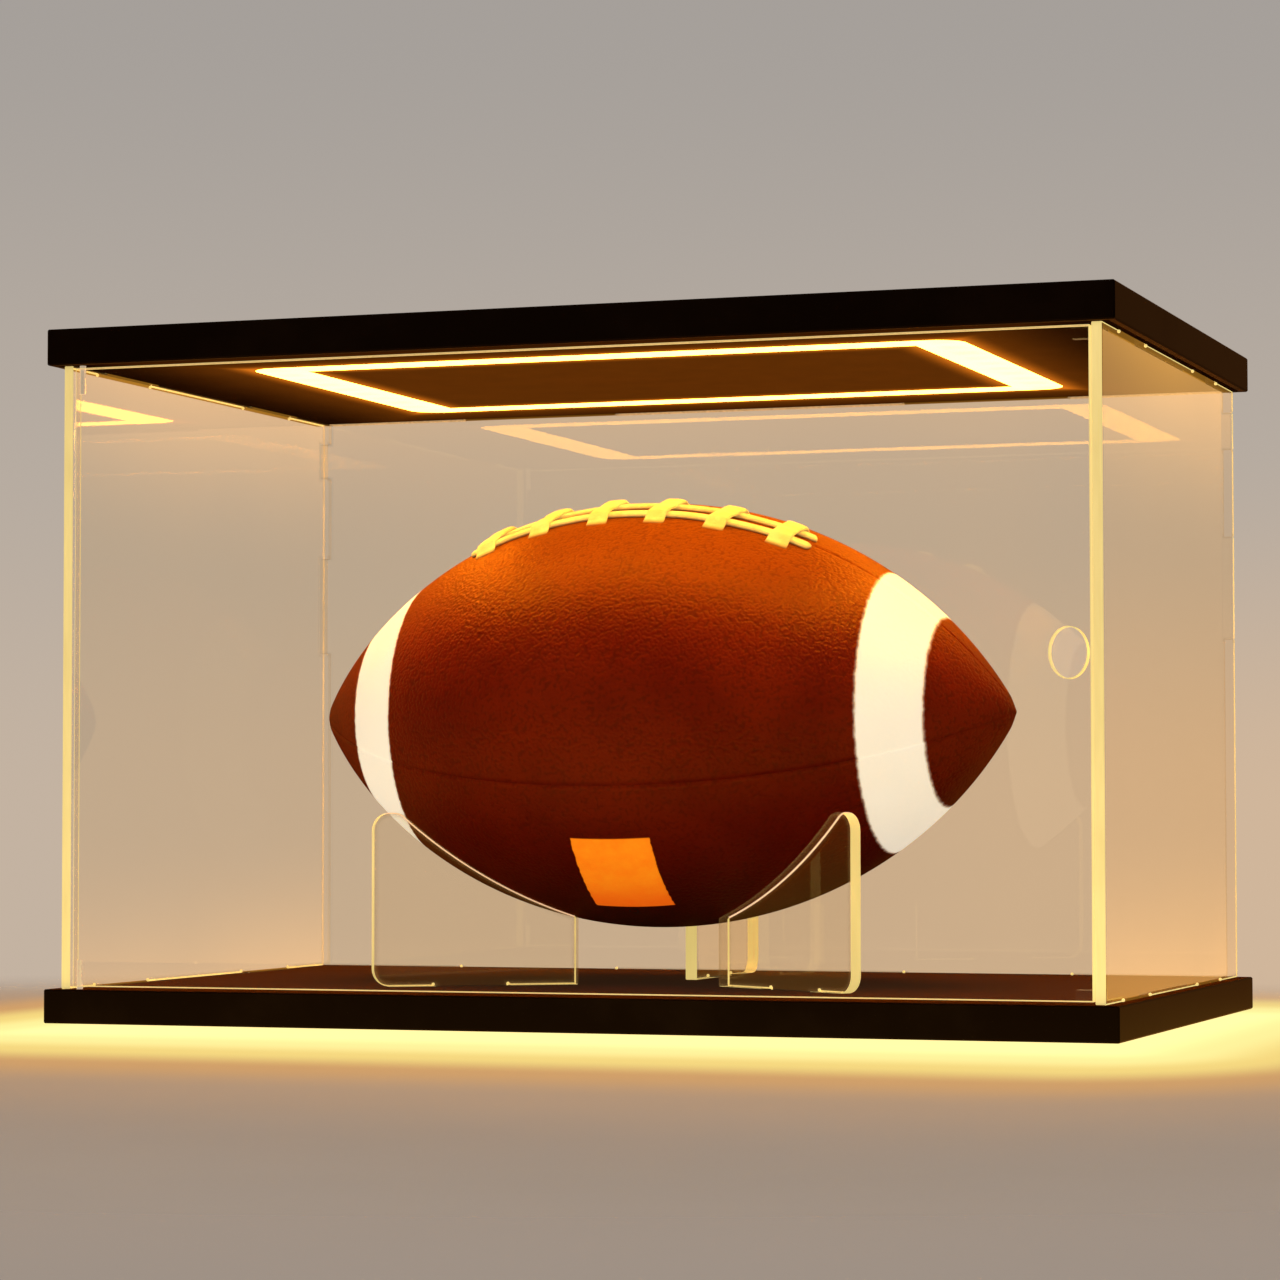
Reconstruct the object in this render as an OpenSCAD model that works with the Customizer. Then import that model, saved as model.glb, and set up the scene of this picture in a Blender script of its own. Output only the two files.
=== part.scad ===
// Lit acrylic display case for an American football: black base and lid slabs, clear walls,
// a hinged front door, a three-plate cradle, a light ring in the lid and one under the base.
// Origin: middle of the footprint, on the surface that the feet stand on. +Z up, -Y is the front.

/* [Slabs] */
// Width of the base and lid slabs, left to right
slab_w = 419; // [416:1:430]
// Depth of the base and lid slabs, front to back
slab_d = 253; // [251:1:262]
// Thickness of the base slab
base_h = 13; // [13:0.5:16]
// Thickness of the lid slab
lid_h = 14; // [13.5:0.5:17]
// Thickness of the slabs' flat plates
skin_t = 4; // [3.5:0.25:4]
// Thickness of the slabs' skirts
skirt_t = 3; // [2.5:0.25:3]
// Bevel on the slabs' outer edges
slab_bevel = 0.6; // [0.3:0.1:1]

/* [Clear box] */
// Outer width of the clear walls
case_w = 408; // [404:1:410]
// Outer depth of the clear walls
case_d = 245; // [241:1:246]
// Height of the clear walls between the slabs
case_h = 240; // [236:1:260]
// Thickness of the acrylic sheet
sheet_t = 4; // [3.5:0.25:4]
// Clearance of a wall tab in its slot
slot_gap = 0.15; // [0.1:0.05:0.2]

/* [Door] */
// Gap round the door at the hinge side, top and bottom
door_gap = 1; // [1:0.1:1.2]
// Diameter of the steel pivot pins
pin_d = 2.4; // [2:0.1:2.6]
// Radial clearance of the pivot pins in the slabs
pin_clearance = 0.05; // [0.03:0.01:0.08]
// Width of the finger hole
finger_w = 13.5; // [12:0.5:14]
// Height of the finger hole
finger_h = 18; // [16:0.5:22]

/* [Cradle] */
// Thickness of the cradle plates
plate_t = 5; // [4:0.5:5]
// Length of each cradle plate, from the middle outwards
plate_len = 82; // [78:1:84]
// Height of the cradle plates
plate_h = 67.5; // [64:0.5:70]
// Angle of the two front plates from the case's width
plate_angle = 35; // [32:1:38]

/* [Football] */
// Length of the football from tip to tip, before its tips are blunted
ball_len = 291; // [282:1:292]
// Diameter of the football at its middle
ball_d = 168; // [164:1:169]
// Turn of the laced seam from the top towards the front, in degrees
lace_turn = 20; // [10:1:30]

/* [Lights] */
// Outer width of the lid's light ring
ring_w = 286; // [270:1:290]
// Outer depth of the lid's light ring
ring_d = 176; // [168:1:180]
// Width of the ring's left and right bands
ring_side = 20; // [18:0.5:22]
// Width of the ring's front and rear bands
ring_front = 14.5; // [13:0.5:16]

/* [Feet] */
// Height of the rubber feet
foot_h = 3; // [3:0.5:5]
// Diameter of the rubber feet
foot_d = 16; // [14:1:18]

/* [Hidden] */
$fn = 96;
eps = 0.01;

// Levels above the standing surface
base_z = foot_h;
base_top = base_z + base_h;
cavity_top = base_top - skin_t;
plate_top = base_z + skin_t;
lid_z = base_top + case_h;
lid_plate_top = lid_z + skin_t;
lid_top = lid_z + lid_h;
lid_cavity_top = lid_top - skin_t;

// Half sizes that many parts share
inner_x = case_w / 2 - sheet_t;
cavity_w = slab_w - 2 * skirt_t;
cavity_d = slab_d - 2 * skirt_t;
cover_gap = 0.2;

// Wall tabs: each pair is [centre, length] along the wall
side_tabs = [[-72, 46], [62, 47]];
back_tabs = [[-100, 72], [100, 72]];
// Finger joints of the rear corners: [height above the base of the middle, length]
corner_fingers = [[159, 42], [223.5, 15]];

// Door and its pivot
latch_gap = 0.6;
door_x0 = -inner_x + door_gap;
door_x1 = inner_x - latch_gap;
pivot_x = door_x0 + sheet_t / 2;
pivot_y = -case_d / 2 + sheet_t / 2;
pin_reach = 3;
pin_bore_end = 0.2;
pin_depth = 10;
finger_margin = 1.65;
finger_x = door_x1 - finger_w / 2 - finger_margin;
finger_z = base_top + 123.5;
stop_size = [8, 4, 5];
stop_gap = 0.3;
stop_lid_gap = 0.5;

// Cradle
plate_front_start = 37;
plate_rear_start = 29.3;
plate_inner_h = 26.6;
cradle_r = 194.4;
cradle_centre_h = 211.7;
cradle_rise = cradle_centre_h - plate_inner_h;
cradle_centre_x = -sqrt(cradle_r * cradle_r - cradle_rise * cradle_rise);
plate_tab = [27.5, 30];
plate_low_r = 7;
plate_high_r = 7;
// Round where a plate's dished edge meets its top: its middle, and the way from there to the dish's middle
dish_round = 8;
dish_round_bite = 0.1;
dish_round_h = plate_h - dish_round;
dish_round_drop = cradle_centre_h - dish_round_h;
dish_round_reach = cradle_r + dish_round - dish_round_bite;
dish_round_run = sqrt(pow(dish_round_reach, 2) - pow(dish_round_drop, 2));
dish_round_x = cradle_centre_x + dish_round_run;
dish_round_way = [-dish_round_run, dish_round_drop] / dish_round_reach;

// Football: an arc of radius ball_r turned about the long axis
ball_x = -2;
ball_z = base_top + 106;
ball_a = ball_len / 2;
ball_b = ball_d / 2;
ball_r = (ball_a * ball_a + ball_b * ball_b) / (2 * ball_b);
ball_off = ball_r - ball_b;
tip_cut = 1.5;
leather_t = 3;
bladder_t = 1.2;
valve_turn = 156;
valve_d = 7;
valve_sink = 0.2;
valve_hole_d = 1.6;
valve_hole_depth = 2;
deg_per_mm = 180 / (PI * ball_b);
lace_span = 140;
lace_w = 5.2;
lace_t = 2.6;
lace_half_gap = 0.7;
cross_pitch = 24;
cross_w = 7.5;
cross_t = 2.4;
cross_reach = 12.5;
cross_inner = 6.3;
cross_gap = 0.05;

// Light channels
channel_depth = 2.6;
diffuser_t = 1;
strip_t = 0.6;
led_size = [3.5, 2.8, 0.8];
under_w = 400;
under_d = 235;
under_band = 10;
under_corner = 6;
under_pitch = 22;
ring_corner = 11;
ring_pitch = 18;
diffuser_gap = 0.2;
strip_inset = [2, 4];
strip_split = 8;
wire_hole_d = 3.4;
wire_d = 1.2;
wire_x = 0.9;
wire_lift = 0.05;
base_wire_run = 5;
lid_wire_run = -9.5;

// Electronics at the rear
board_size = [60, 24, 1];
board_lift = 0.4;
pad_size = [6, 20];
pad_x = 24;
chip_size = [7, 7, 1.2];
chip_y = -5;
coil_size = [5, 5, 2.4];
coil_spot = [-22, -4];
resistor_size = [1.2, 2, 0.7];
resistor_spot = [20, -8];
resistor_pitch = 2.4;
board_y = cavity_d / 2 - 1 - board_size[1] / 2;
inlet_x = -14;
switch_x = 14;
inlet_shell = [8.9, 3.2, 8.5];
inlet_gap = 0.25;
inlet_wall = 0.3;
inlet_lip = 0.35;
tongue_size = [6.6, 0.7];
tongue_setback = 1.2;
tongue_back_gap = 0.4;
button_d = 5;
button_len = 1.8;
button_clearance = 0.08;
button_travel = 1;
button_recess = [9, 1.2];
stem_d = 2;
stem_clearance = 0.05;
stem_reach = 3;
stem_bore_end = 0.4;
switch_size = [7, 6, 3.2];
switch_face_y = cavity_d / 2 - 6.3;
axis_lift = 3;
base_axis_z = plate_top + axis_lift;
lid_axis_z = lid_plate_top + axis_lift;
board_parts_z = board_lift + board_size[2];
wire_run_z = board_parts_z + wire_d / 2 + wire_lift;

// Screws and feet
screw_spots = [
  for (x = [-90, 90], y = [-100, 100]) [x, y],
  for (x = [-182, 182], y = [-40, 40]) [x, y]
];
screw_d = 2.3;
screw_gap = 0.4;
screw_head_d = 5;
screw_head_h = 1.3;
screw_reach = 4;
screw_cross = [2.8, 0.6, 0.7];
boss_d = 7;
foot_x = 165;
foot_y = 66;
foot_bevel = 0.8;

// ---------- shared shapes ----------

// A rectangle centred on the origin with its corners cut at 45 degrees
module chamfered_rect(w, d, c) {
  polygon([
    [-w / 2 + c, -d / 2], [w / 2 - c, -d / 2], [w / 2, -d / 2 + c], [w / 2, d / 2 - c],
    [w / 2 - c, d / 2], [-w / 2 + c, d / 2], [-w / 2, d / 2 - c], [-w / 2, -d / 2 + c]
  ]);
}

// A slab standing on z0 with bevels along all its edges
module bevelled_slab(w, d, h, c, z0) {
  translate([0, 0, z0 + h / 2])
    intersection() {
      translate([0, 0, -h / 2]) linear_extrude(h) chamfered_rect(w, d, c);
      rotate([90, 0, 0]) translate([0, 0, -d / 2]) linear_extrude(d) chamfered_rect(w, h, c);
      rotate([90, 0, 90]) translate([0, 0, -w / 2]) linear_extrude(w) chamfered_rect(d, h, c);
    }
}

// A box centred in x and y, from z0 up
module block(w, d, h, z0) {
  translate([-w / 2, -d / 2, z0]) cube([w, d, h]);
}

// A rectangle with round corners, centred
module round_rect(w, d, r) {
  square([w - 2 * r, d], center = true);
  square([w, d - 2 * r], center = true);
  for (sx = [-1, 1], sy = [-1, 1])
    translate([sx * (w / 2 - r), sy * (d / 2 - r)]) circle(r);
}

// A stadium lying along x, with its height along y
module stadium(w, h) {
  square([w - h, h], center = true);
  for (s = [-1, 1]) translate([s * (w - h) / 2, 0]) circle(h / 2);
}

// Slots through a plate for the wall tabs, grown by gap on every side
module wall_tab_cutters(z0, h, gap) {
  for (t = side_tabs, s = [-1, 1])
    translate([s * (case_w / 2 - sheet_t / 2), t[0], 0])
      block(sheet_t + 2 * gap, t[1] + 2 * gap, h, z0);
  for (t = back_tabs)
    translate([t[0], case_d / 2 - sheet_t / 2, 0])
      block(t[1] + 2 * gap, sheet_t + 2 * gap, h, z0);
}

// Places its children at a front or rear cradle plate: x outwards, y across
module at_cradle(angle, start) {
  rotate(angle) translate([start, 0, 0]) children();
}

module cradle_tab_cutters(z0, h, gap) {
  for (a = [180 + plate_angle, -plate_angle, 90])
    at_cradle(a, a == 90 ? plate_rear_start : plate_front_start)
      translate([plate_tab[0] - gap, -plate_t / 2 - gap, z0])
        cube([plate_tab[1] + 2 * gap, plate_t + 2 * gap, h]);
}

// Blind pivot bore in a slab, opening upwards or downwards at face_z
module pivot_bore(face_z, up) {
  depth = pin_reach + pin_bore_end;
  translate([pivot_x, pivot_y, up ? face_z : face_z - depth])
    cylinder(d = pin_d + 2 * pin_clearance, h = depth);
}

// Rear openings of a slab for its power inlet and its push button
module rear_openings(axis_z) {
  translate([inlet_x, slab_d / 2 + 1, axis_z])
    rotate([90, 0, 0]) linear_extrude(skirt_t + 2)
      stadium(inlet_shell[0] + 2 * inlet_gap, inlet_shell[1] + 2 * inlet_gap);
  translate([switch_x, slab_d / 2 + 1, axis_z])
    rotate([90, 0, 0]) cylinder(d = button_d + 2 * button_clearance, h = skirt_t + 2);
  translate([switch_x, slab_d / 2 + 1, axis_z])
    rotate([90, 0, 0]) cylinder(d = button_recess[0], h = button_recess[1] + 1);
}

// Flat frame between an outer and an inner rectangle
module frame_2d(w, d, side, front, corner) {
  difference() {
    round_rect(w, d, corner);
    square([w - 2 * side, d - 2 * front], center = true);
  }
}

// Row of light chips along the four bands of a frame
module led_chips(w, d, side, front, z0, pitch) {
  nx = floor((w - 2 * side) / pitch);
  ny = floor((d - 2 * front) / pitch);
  for (i = [0:nx], s = [-1, 1])
    translate([(i - nx / 2) * pitch, s * (d - front) / 2, 0])
      block(led_size[0], led_size[1], led_size[2], z0);
  for (i = [0:ny], s = [-1, 1])
    translate([s * (w - side) / 2, (i - ny / 2) * pitch, 0])
      block(led_size[1], led_size[0], led_size[2], z0);
}

// Circuit board with its components, lying on two foam pads from z0 up
module driver_board(z0) {
  translate([0, board_y, 0]) {
    difference() {
      block(board_size[0], board_size[1], board_size[2], z0 + board_lift);
      translate([0, under_d / 2 - under_band / 2 - board_y, z0]) cylinder(d = wire_hole_d, h = 3);
    }
    for (s = [-1, 1])
      translate([s * pad_x, 0, 0]) block(pad_size[0], pad_size[1], board_lift, z0);
    translate([0, chip_y, 0])
      block(chip_size[0], chip_size[1], chip_size[2], z0 + board_parts_z);
    translate([coil_spot[0], coil_spot[1], 0])
      block(coil_size[0], coil_size[1], coil_size[2], z0 + board_parts_z);
    for (i = [0:3])
      translate([resistor_spot[0] + resistor_pitch * i, resistor_spot[1], 0])
        block(resistor_size[0], resistor_size[1], resistor_size[2], z0 + board_parts_z);
  }
}

// Metal socket shell with its tongue, its mouth facing the rear
module power_inlet(axis_z) {
  translate([inlet_x, slab_d / 2 - inlet_lip, axis_z]) rotate([90, 0, 0]) {
    difference() {
      linear_extrude(inlet_shell[2]) stadium(inlet_shell[0], inlet_shell[1]);
      translate([0, 0, -1]) linear_extrude(inlet_shell[2])
        stadium(inlet_shell[0] - 2 * inlet_wall, inlet_shell[1] - 2 * inlet_wall);
    }
    translate([-tongue_size[0] / 2, -tongue_size[1] / 2, tongue_setback])
      cube([tongue_size[0], tongue_size[1], inlet_shell[2] - tongue_setback - tongue_back_gap]);
  }
}

// Switch housing on the board, with a bore that the button's stem slides in
module switch_body(axis_z) {
  difference() {
    translate([switch_x, switch_face_y - switch_size[1] / 2, 0])
      block(switch_size[0], switch_size[1], switch_size[2], axis_z - switch_size[2] / 2);
    translate([switch_x, switch_face_y + eps, axis_z])
      rotate([90, 0, 0])
        cylinder(d = stem_d + 2 * stem_clearance, h = stem_reach + button_travel + stem_bore_end);
  }
}

// Round push button on its stem, level with the slab's rear face
module switch_button(axis_z) {
  translate([switch_x, slab_d / 2, axis_z]) rotate([90, 0, 0]) {
    cylinder(d = button_d, h = button_len);
    cylinder(d = stem_d, h = slab_d / 2 - switch_face_y + stem_reach);
  }
}

// Two round wires that run forwards above the board, then down into the light's channel
module light_wires(wire_z, from_y, to_y, drop_z) {
  for (s = [-1, 1])
    translate([s * wire_x, 0, 0]) {
      translate([0, from_y, wire_z]) rotate([90, 0, 0]) cylinder(d = wire_d, h = from_y - to_y);
      translate([0, to_y, wire_z]) sphere(d = wire_d);
      translate([0, to_y, drop_z]) cylinder(d = wire_d, h = wire_z - drop_z);
    }
}

// ---------- base ----------

module base_shell() {
  color([0.03, 0.03, 0.03]) {
    difference() {
      bevelled_slab(slab_w, slab_d, base_h, slab_bevel, base_z);
      block(cavity_w, cavity_d, cavity_top - base_z + 1, base_z - 1);
      wall_tab_cutters(cavity_top - 1, skin_t + 2, 0);
      cradle_tab_cutters(cavity_top - 1, skin_t + 2, 0);
      pivot_bore(base_top, false);
      rear_openings(base_axis_z);
    }
    for (p = screw_spots)
      translate([p[0], p[1], 0])
        difference() {
          translate([0, 0, plate_top]) cylinder(d = boss_d, h = cavity_top - plate_top + eps);
          translate([0, 0, plate_top - 1]) cylinder(d = screw_d, h = cavity_top - plate_top);
        }
  }
}

module base_bottom_plate() {
  color([0.05, 0.05, 0.05])
    difference() {
      block(cavity_w - 2 * cover_gap, cavity_d - 2 * cover_gap, skin_t, base_z);
      translate([0, 0, base_z - 1]) linear_extrude(channel_depth + 1)
        frame_2d(under_w, under_d, under_band, under_band, under_corner);
      for (p = screw_spots)
        translate([p[0], p[1], base_z]) {
          translate([0, 0, -1]) cylinder(d = screw_d + screw_gap, h = skin_t + 2);
          cylinder(d1 = screw_head_d + screw_gap, d2 = screw_d + screw_gap, h = screw_head_h);
        }
      translate([0, under_d / 2 - under_band / 2, base_z])
        cylinder(d = wire_hole_d, h = skin_t + 1);
    }
}

module base_cover_screws() {
  color([0.6, 0.6, 0.62])
    for (p = screw_spots)
      translate([p[0], p[1], base_z])
        difference() {
          rotate_extrude()
            polygon([
              [0, 0], [screw_head_d / 2, 0], [screw_d / 2, screw_head_h],
              [screw_d / 2, skin_t + screw_reach], [0, skin_t + screw_reach]
            ]);
          for (a = [0, 90])
            rotate(a) translate([-screw_cross[0] / 2, -screw_cross[1] / 2, -eps]) cube(screw_cross);
        }
}

module foot(sx, sy) {
  color([0.08, 0.08, 0.08])
    translate([sx * foot_x, sy * foot_y, 0])
      rotate_extrude()
        polygon([
          [0, 0], [foot_d / 2 - foot_bevel, 0], [foot_d / 2, foot_bevel],
          [foot_d / 2, foot_h], [0, foot_h]
        ]);
}

module foot_front_left() { foot(-1, -1); }
module foot_front_right() { foot(1, -1); }
module foot_rear_left() { foot(-1, 1); }
module foot_rear_right() { foot(1, 1); }

module under_light_strip() {
  strip_z = base_z + channel_depth - strip_t;
  inset = strip_inset[0];
  band = under_band - inset;
  color([0.9, 0.9, 0.85]) {
    difference() {
      translate([0, 0, strip_z]) linear_extrude(strip_t)
        frame_2d(under_w - inset, under_d - inset, band, band, under_corner - inset / 2);
      translate([0, under_d / 2 - under_band / 2, strip_z - 1])
        cylinder(d = wire_hole_d - 0.4, h = 3);
    }
    difference() {
      led_chips(under_w, under_d, under_band, under_band, strip_z - led_size[2] + eps, under_pitch);
      block(strip_split, slab_d, base_top, 0);
    }
  }
}

module under_light_diffuser() {
  color([1, 0.86, 0.5])
    translate([0, 0, base_z]) linear_extrude(diffuser_t)
      frame_2d(
        under_w - diffuser_gap, under_d - diffuser_gap,
        under_band - diffuser_gap, under_band - diffuser_gap, under_corner
      );
}

module base_driver_board() { color([0.05, 0.3, 0.12]) driver_board(plate_top); }
module base_power_inlet() { color([0.75, 0.75, 0.77]) power_inlet(base_axis_z); }
module base_switch_body() { color([0.1, 0.1, 0.1]) switch_body(base_axis_z); }
module base_switch_button() { color([0.15, 0.15, 0.15]) switch_button(base_axis_z); }

module base_light_wires() {
  color([0.7, 0.1, 0.08])
    light_wires(
      plate_top + wire_run_z, board_y + base_wire_run,
      under_d / 2 - under_band / 2, base_z + channel_depth
    );
}

// ---------- clear box ----------

module side_wall(s) {
  color([1, 0.95, 0.8, 0.35])
    translate([s * (case_w / 2 - sheet_t / 2), 0, 0])
      difference() {
        union() {
          block(sheet_t, case_d, case_h, base_top);
          for (t = side_tabs)
            translate([0, t[0], 0])
              block(sheet_t, t[1], case_h + 2 * skin_t, base_top - skin_t);
        }
        for (f = corner_fingers)
          translate([0, case_d / 2 - sheet_t / 2, 0])
            block(sheet_t + 2, sheet_t + 2 * eps, f[1], base_top + f[0] - f[1] / 2);
      }
}

module left_wall() { side_wall(-1); }
module right_wall() { side_wall(1); }

module back_wall() {
  color([1, 0.95, 0.8, 0.35])
    translate([0, case_d / 2 - sheet_t / 2, 0]) {
      block(2 * inner_x, sheet_t, case_h, base_top);
      for (t = back_tabs)
        translate([t[0], 0, 0])
          block(t[1], sheet_t, case_h + 2 * skin_t, base_top - skin_t);
      for (f = corner_fingers)
        block(case_w, sheet_t, f[1], base_top + f[0] - f[1] / 2);
    }
}

module door_stops() {
  color([1, 0.95, 0.8, 0.35])
    for (z = [base_top, lid_z - stop_size[2] - stop_lid_gap])
      translate([inner_x - stop_size[0], pivot_y + sheet_t / 2 + stop_gap, z]) cube(stop_size);
}

// ---------- door ----------

module door_panel() {
  door_z = base_top + door_gap;
  door_h = case_h - 2 * door_gap;
  color([1, 0.95, 0.8, 0.35])
    difference() {
      translate([door_x0, -case_d / 2, door_z]) cube([door_x1 - door_x0, sheet_t, door_h]);
      translate([finger_x, 0, finger_z]) rotate([90, 0, 0])
        linear_extrude(case_d) rotate(90) stadium(finger_h, finger_w);
      for (z = [door_z, door_z + door_h - pin_depth])
        translate([pivot_x, pivot_y, z]) cylinder(d = pin_d, h = pin_depth);
    }
}

module door_pivot_pins() {
  color([0.8, 0.8, 0.82]) {
    translate([pivot_x, pivot_y, base_top - pin_reach])
      cylinder(d = pin_d, h = pin_reach + door_gap + pin_depth);
    translate([pivot_x, pivot_y, lid_z - door_gap - pin_depth])
      cylinder(d = pin_d, h = pin_reach + door_gap + pin_depth);
  }
}

// ---------- cradle ----------

// Side view of a plate: x outwards, y up, its upper edge dished for the ball
module cradle_profile() {
  difference() {
    translate([0, -skin_t]) square([plate_len, plate_h + skin_t]);
    translate([-1, -skin_t - 1]) square([plate_tab[0] + 1, skin_t + 1]);
    translate([plate_tab[0] + plate_tab[1], -skin_t - 1]) square([plate_len, skin_t + 1]);
    translate([cradle_centre_x, cradle_centre_h]) circle(cradle_r, $fn = 240);
    translate([plate_len - plate_low_r, 0]) difference() {
      translate([0, -1]) square([plate_low_r + 1, plate_low_r + 1]);
      translate([0, plate_low_r]) circle(plate_low_r);
    }
    translate([plate_len - plate_high_r, plate_h - plate_high_r]) difference() {
      square(plate_high_r + 1);
      circle(plate_high_r);
    }
    translate([dish_round_x, dish_round_h]) difference() {
      polygon([
        [0, 0], (dish_round + 1) * dish_round_way,
        [(dish_round + 1) * dish_round_way[0], dish_round + 1], [0, dish_round + 1]
      ]);
      circle(dish_round);
    }
  }
}

module cradle_plate(angle, start) {
  color([1, 0.95, 0.8, 0.35])
    translate([0, 0, base_top]) at_cradle(angle, start)
      translate([0, plate_t / 2, 0]) rotate([90, 0, 0])
        linear_extrude(plate_t) cradle_profile();
}

module cradle_plate_left() { cradle_plate(180 + plate_angle, plate_front_start); }
module cradle_plate_right() { cradle_plate(-plate_angle, plate_front_start); }
module cradle_plate_rear() { cradle_plate(90, plate_rear_start); }

// ---------- lid ----------

module lid_shell() {
  color([0.03, 0.03, 0.03])
    difference() {
      bevelled_slab(slab_w, slab_d, lid_h, slab_bevel, lid_z);
      block(cavity_w, cavity_d, lid_cavity_top - lid_z + 1, lid_z - 1);
      rear_openings(lid_axis_z);
    }
}

module lid_underside_plate() {
  color([0.1, 0.07, 0.05])
    difference() {
      block(cavity_w - 2 * cover_gap, cavity_d - 2 * cover_gap, skin_t, lid_z);
      translate([0, 0, lid_z - 1]) linear_extrude(channel_depth + 1)
        frame_2d(ring_w, ring_d, ring_side, ring_front, ring_corner);
      wall_tab_cutters(lid_z - 1, skin_t + 2, slot_gap);
      pivot_bore(lid_z, true);
      translate([0, ring_d / 2 - ring_front / 2, lid_z])
        cylinder(d = wire_hole_d, h = skin_t + 1);
    }
}

module light_ring_strip() {
  strip_z = lid_z + channel_depth - strip_t;
  inset = strip_inset[1];
  color([0.9, 0.9, 0.85]) {
    difference() {
      translate([0, 0, strip_z]) linear_extrude(strip_t)
        frame_2d(
          ring_w - inset, ring_d - inset,
          ring_side - inset, ring_front - inset, ring_corner - inset / 2
        );
      translate([0, ring_d / 2 - ring_front / 2, strip_z - 1])
        cylinder(d = wire_hole_d - 0.4, h = 3);
    }
    difference() {
      led_chips(ring_w, ring_d, ring_side, ring_front, strip_z - led_size[2] + eps, ring_pitch);
      block(strip_split, slab_d, lid_top, 0);
    }
  }
}

module light_ring_diffuser() {
  color([1, 0.9, 0.6])
    translate([0, 0, lid_z]) linear_extrude(diffuser_t)
      frame_2d(
        ring_w - diffuser_gap, ring_d - diffuser_gap,
        ring_side - diffuser_gap, ring_front - diffuser_gap, ring_corner
      );
}

module lid_driver_board() { color([0.05, 0.3, 0.12]) driver_board(lid_plate_top); }
module lid_power_inlet() { color([0.75, 0.75, 0.77]) power_inlet(lid_axis_z); }
module lid_switch_body() { color([0.1, 0.1, 0.1]) switch_body(lid_axis_z); }
module lid_switch_button() { color([0.15, 0.15, 0.15]) switch_button(lid_axis_z); }

module lid_light_wires() {
  color([0.7, 0.1, 0.08])
    light_wires(
      lid_plate_top + wire_run_z, board_y + lid_wire_run,
      ring_d / 2 - ring_front / 2, lid_z + channel_depth
    );
}

// ---------- football ----------

// Profile of the solid grown by d: the long axis is y, cut to half_len each way
module ball_profile(d, half_len) {
  intersection() {
    translate([-ball_off, 0]) circle(ball_r + d, $fn = 256);
    translate([0, -half_len]) square([ball_d, 2 * half_len]);
  }
}

// Profile between two growths, along the stretch from y0 to y1
module ball_skin_profile(d0, d1, y0, y1) {
  intersection() {
    difference() {
      translate([-ball_off, 0]) circle(ball_r + d1, $fn = 256);
      translate([-ball_off, 0]) circle(ball_r + d0, $fn = 256);
    }
    translate([0, y0]) square([ball_d, y1 - y0]);
  }
}

// Turns a profile about the ball's long axis from turn a0 to a1, counted from the top forwards
module ball_sweep(a0, a1) {
  translate([ball_x, 0, ball_z]) rotate([0, 90, 0])
    rotate(180 + a0) rotate_extrude(angle = a1 - a0) children();
}

// Places its children on the ball's middle at a turn, z pointing outwards
module at_ball_turn(a) {
  translate([ball_x, 0, ball_z]) rotate([a, 0, 0]) children();
}

module leather_panel(a0) {
  color([0.45, 0.16, 0.06])
    ball_sweep(a0, a0 + 90)
      difference() {
        ball_profile(0, ball_a - tip_cut);
        ball_profile(-leather_t, ball_a);
      }
}

module football_panel_front() { leather_panel(lace_turn); }
module football_panel_rear() { leather_panel(lace_turn + 180); }
module football_panel_top() { leather_panel(lace_turn + 270); }

module football_panel_bottom() {
  difference() {
    leather_panel(lace_turn + 90);
    at_ball_turn(valve_turn)
      translate([0, 0, ball_b - 2 * leather_t]) cylinder(d = valve_d, h = 4 * leather_t);
  }
}

// The bladder is moulded in two halves
module football_bladder() {
  color([0.1, 0.1, 0.1])
    for (a = [0, 180])
      ball_sweep(a, a + 180)
        difference() {
          ball_profile(-leather_t, ball_a);
          ball_profile(-leather_t - bladder_t, ball_a);
        }
}

module football_valve() {
  color([0.08, 0.08, 0.08])
    at_ball_turn(valve_turn)
      difference() {
        translate([0, 0, ball_b - leather_t]) cylinder(d = valve_d, h = leather_t - valve_sink);
        translate([0, 0, ball_b - valve_hole_depth])
          cylinder(d = valve_hole_d, h = valve_hole_depth + 1);
      }
}

module football_long_laces() {
  color([0.97, 0.9, 0.65])
    for (a = [lace_half_gap, -lace_half_gap - lace_w])
      ball_sweep(lace_turn + a * deg_per_mm, lace_turn + (a + lace_w) * deg_per_mm)
        ball_skin_profile(0, lace_t, -lace_span / 2, lace_span / 2);
}

module football_cross_laces() {
  reach = cross_reach * deg_per_mm;
  inner = cross_inner * deg_per_mm;
  color([0.97, 0.9, 0.65])
    for (i = [0:5]) {
      y = (i - 2.5) * cross_pitch;
      ball_sweep(lace_turn - reach, lace_turn + reach)
        ball_skin_profile(lace_t + cross_gap, lace_t + cross_t, y - cross_w / 2, y + cross_w / 2);
      for (a = [-reach, inner])
        ball_sweep(lace_turn + a, lace_turn + a + reach - inner)
          ball_skin_profile(0, lace_t + 2 * cross_gap, y - cross_w / 2, y + cross_w / 2);
    }
}

base_shell();
base_bottom_plate();
base_cover_screws();
foot_front_left();
foot_front_right();
foot_rear_left();
foot_rear_right();
under_light_strip();
under_light_diffuser();
base_driver_board();
base_power_inlet();
base_switch_body();
base_switch_button();
base_light_wires();
left_wall();
right_wall();
back_wall();
door_stops();
door_panel();
door_pivot_pins();
cradle_plate_left();
cradle_plate_right();
cradle_plate_rear();
lid_shell();
lid_underside_plate();
light_ring_strip();
light_ring_diffuser();
lid_driver_board();
lid_power_inlet();
lid_switch_body();
lid_switch_button();
lid_light_wires();
football_panel_front();
football_panel_bottom();
football_panel_rear();
football_panel_top();
football_bladder();
football_valve();
football_long_laces();
football_cross_laces();
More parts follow.
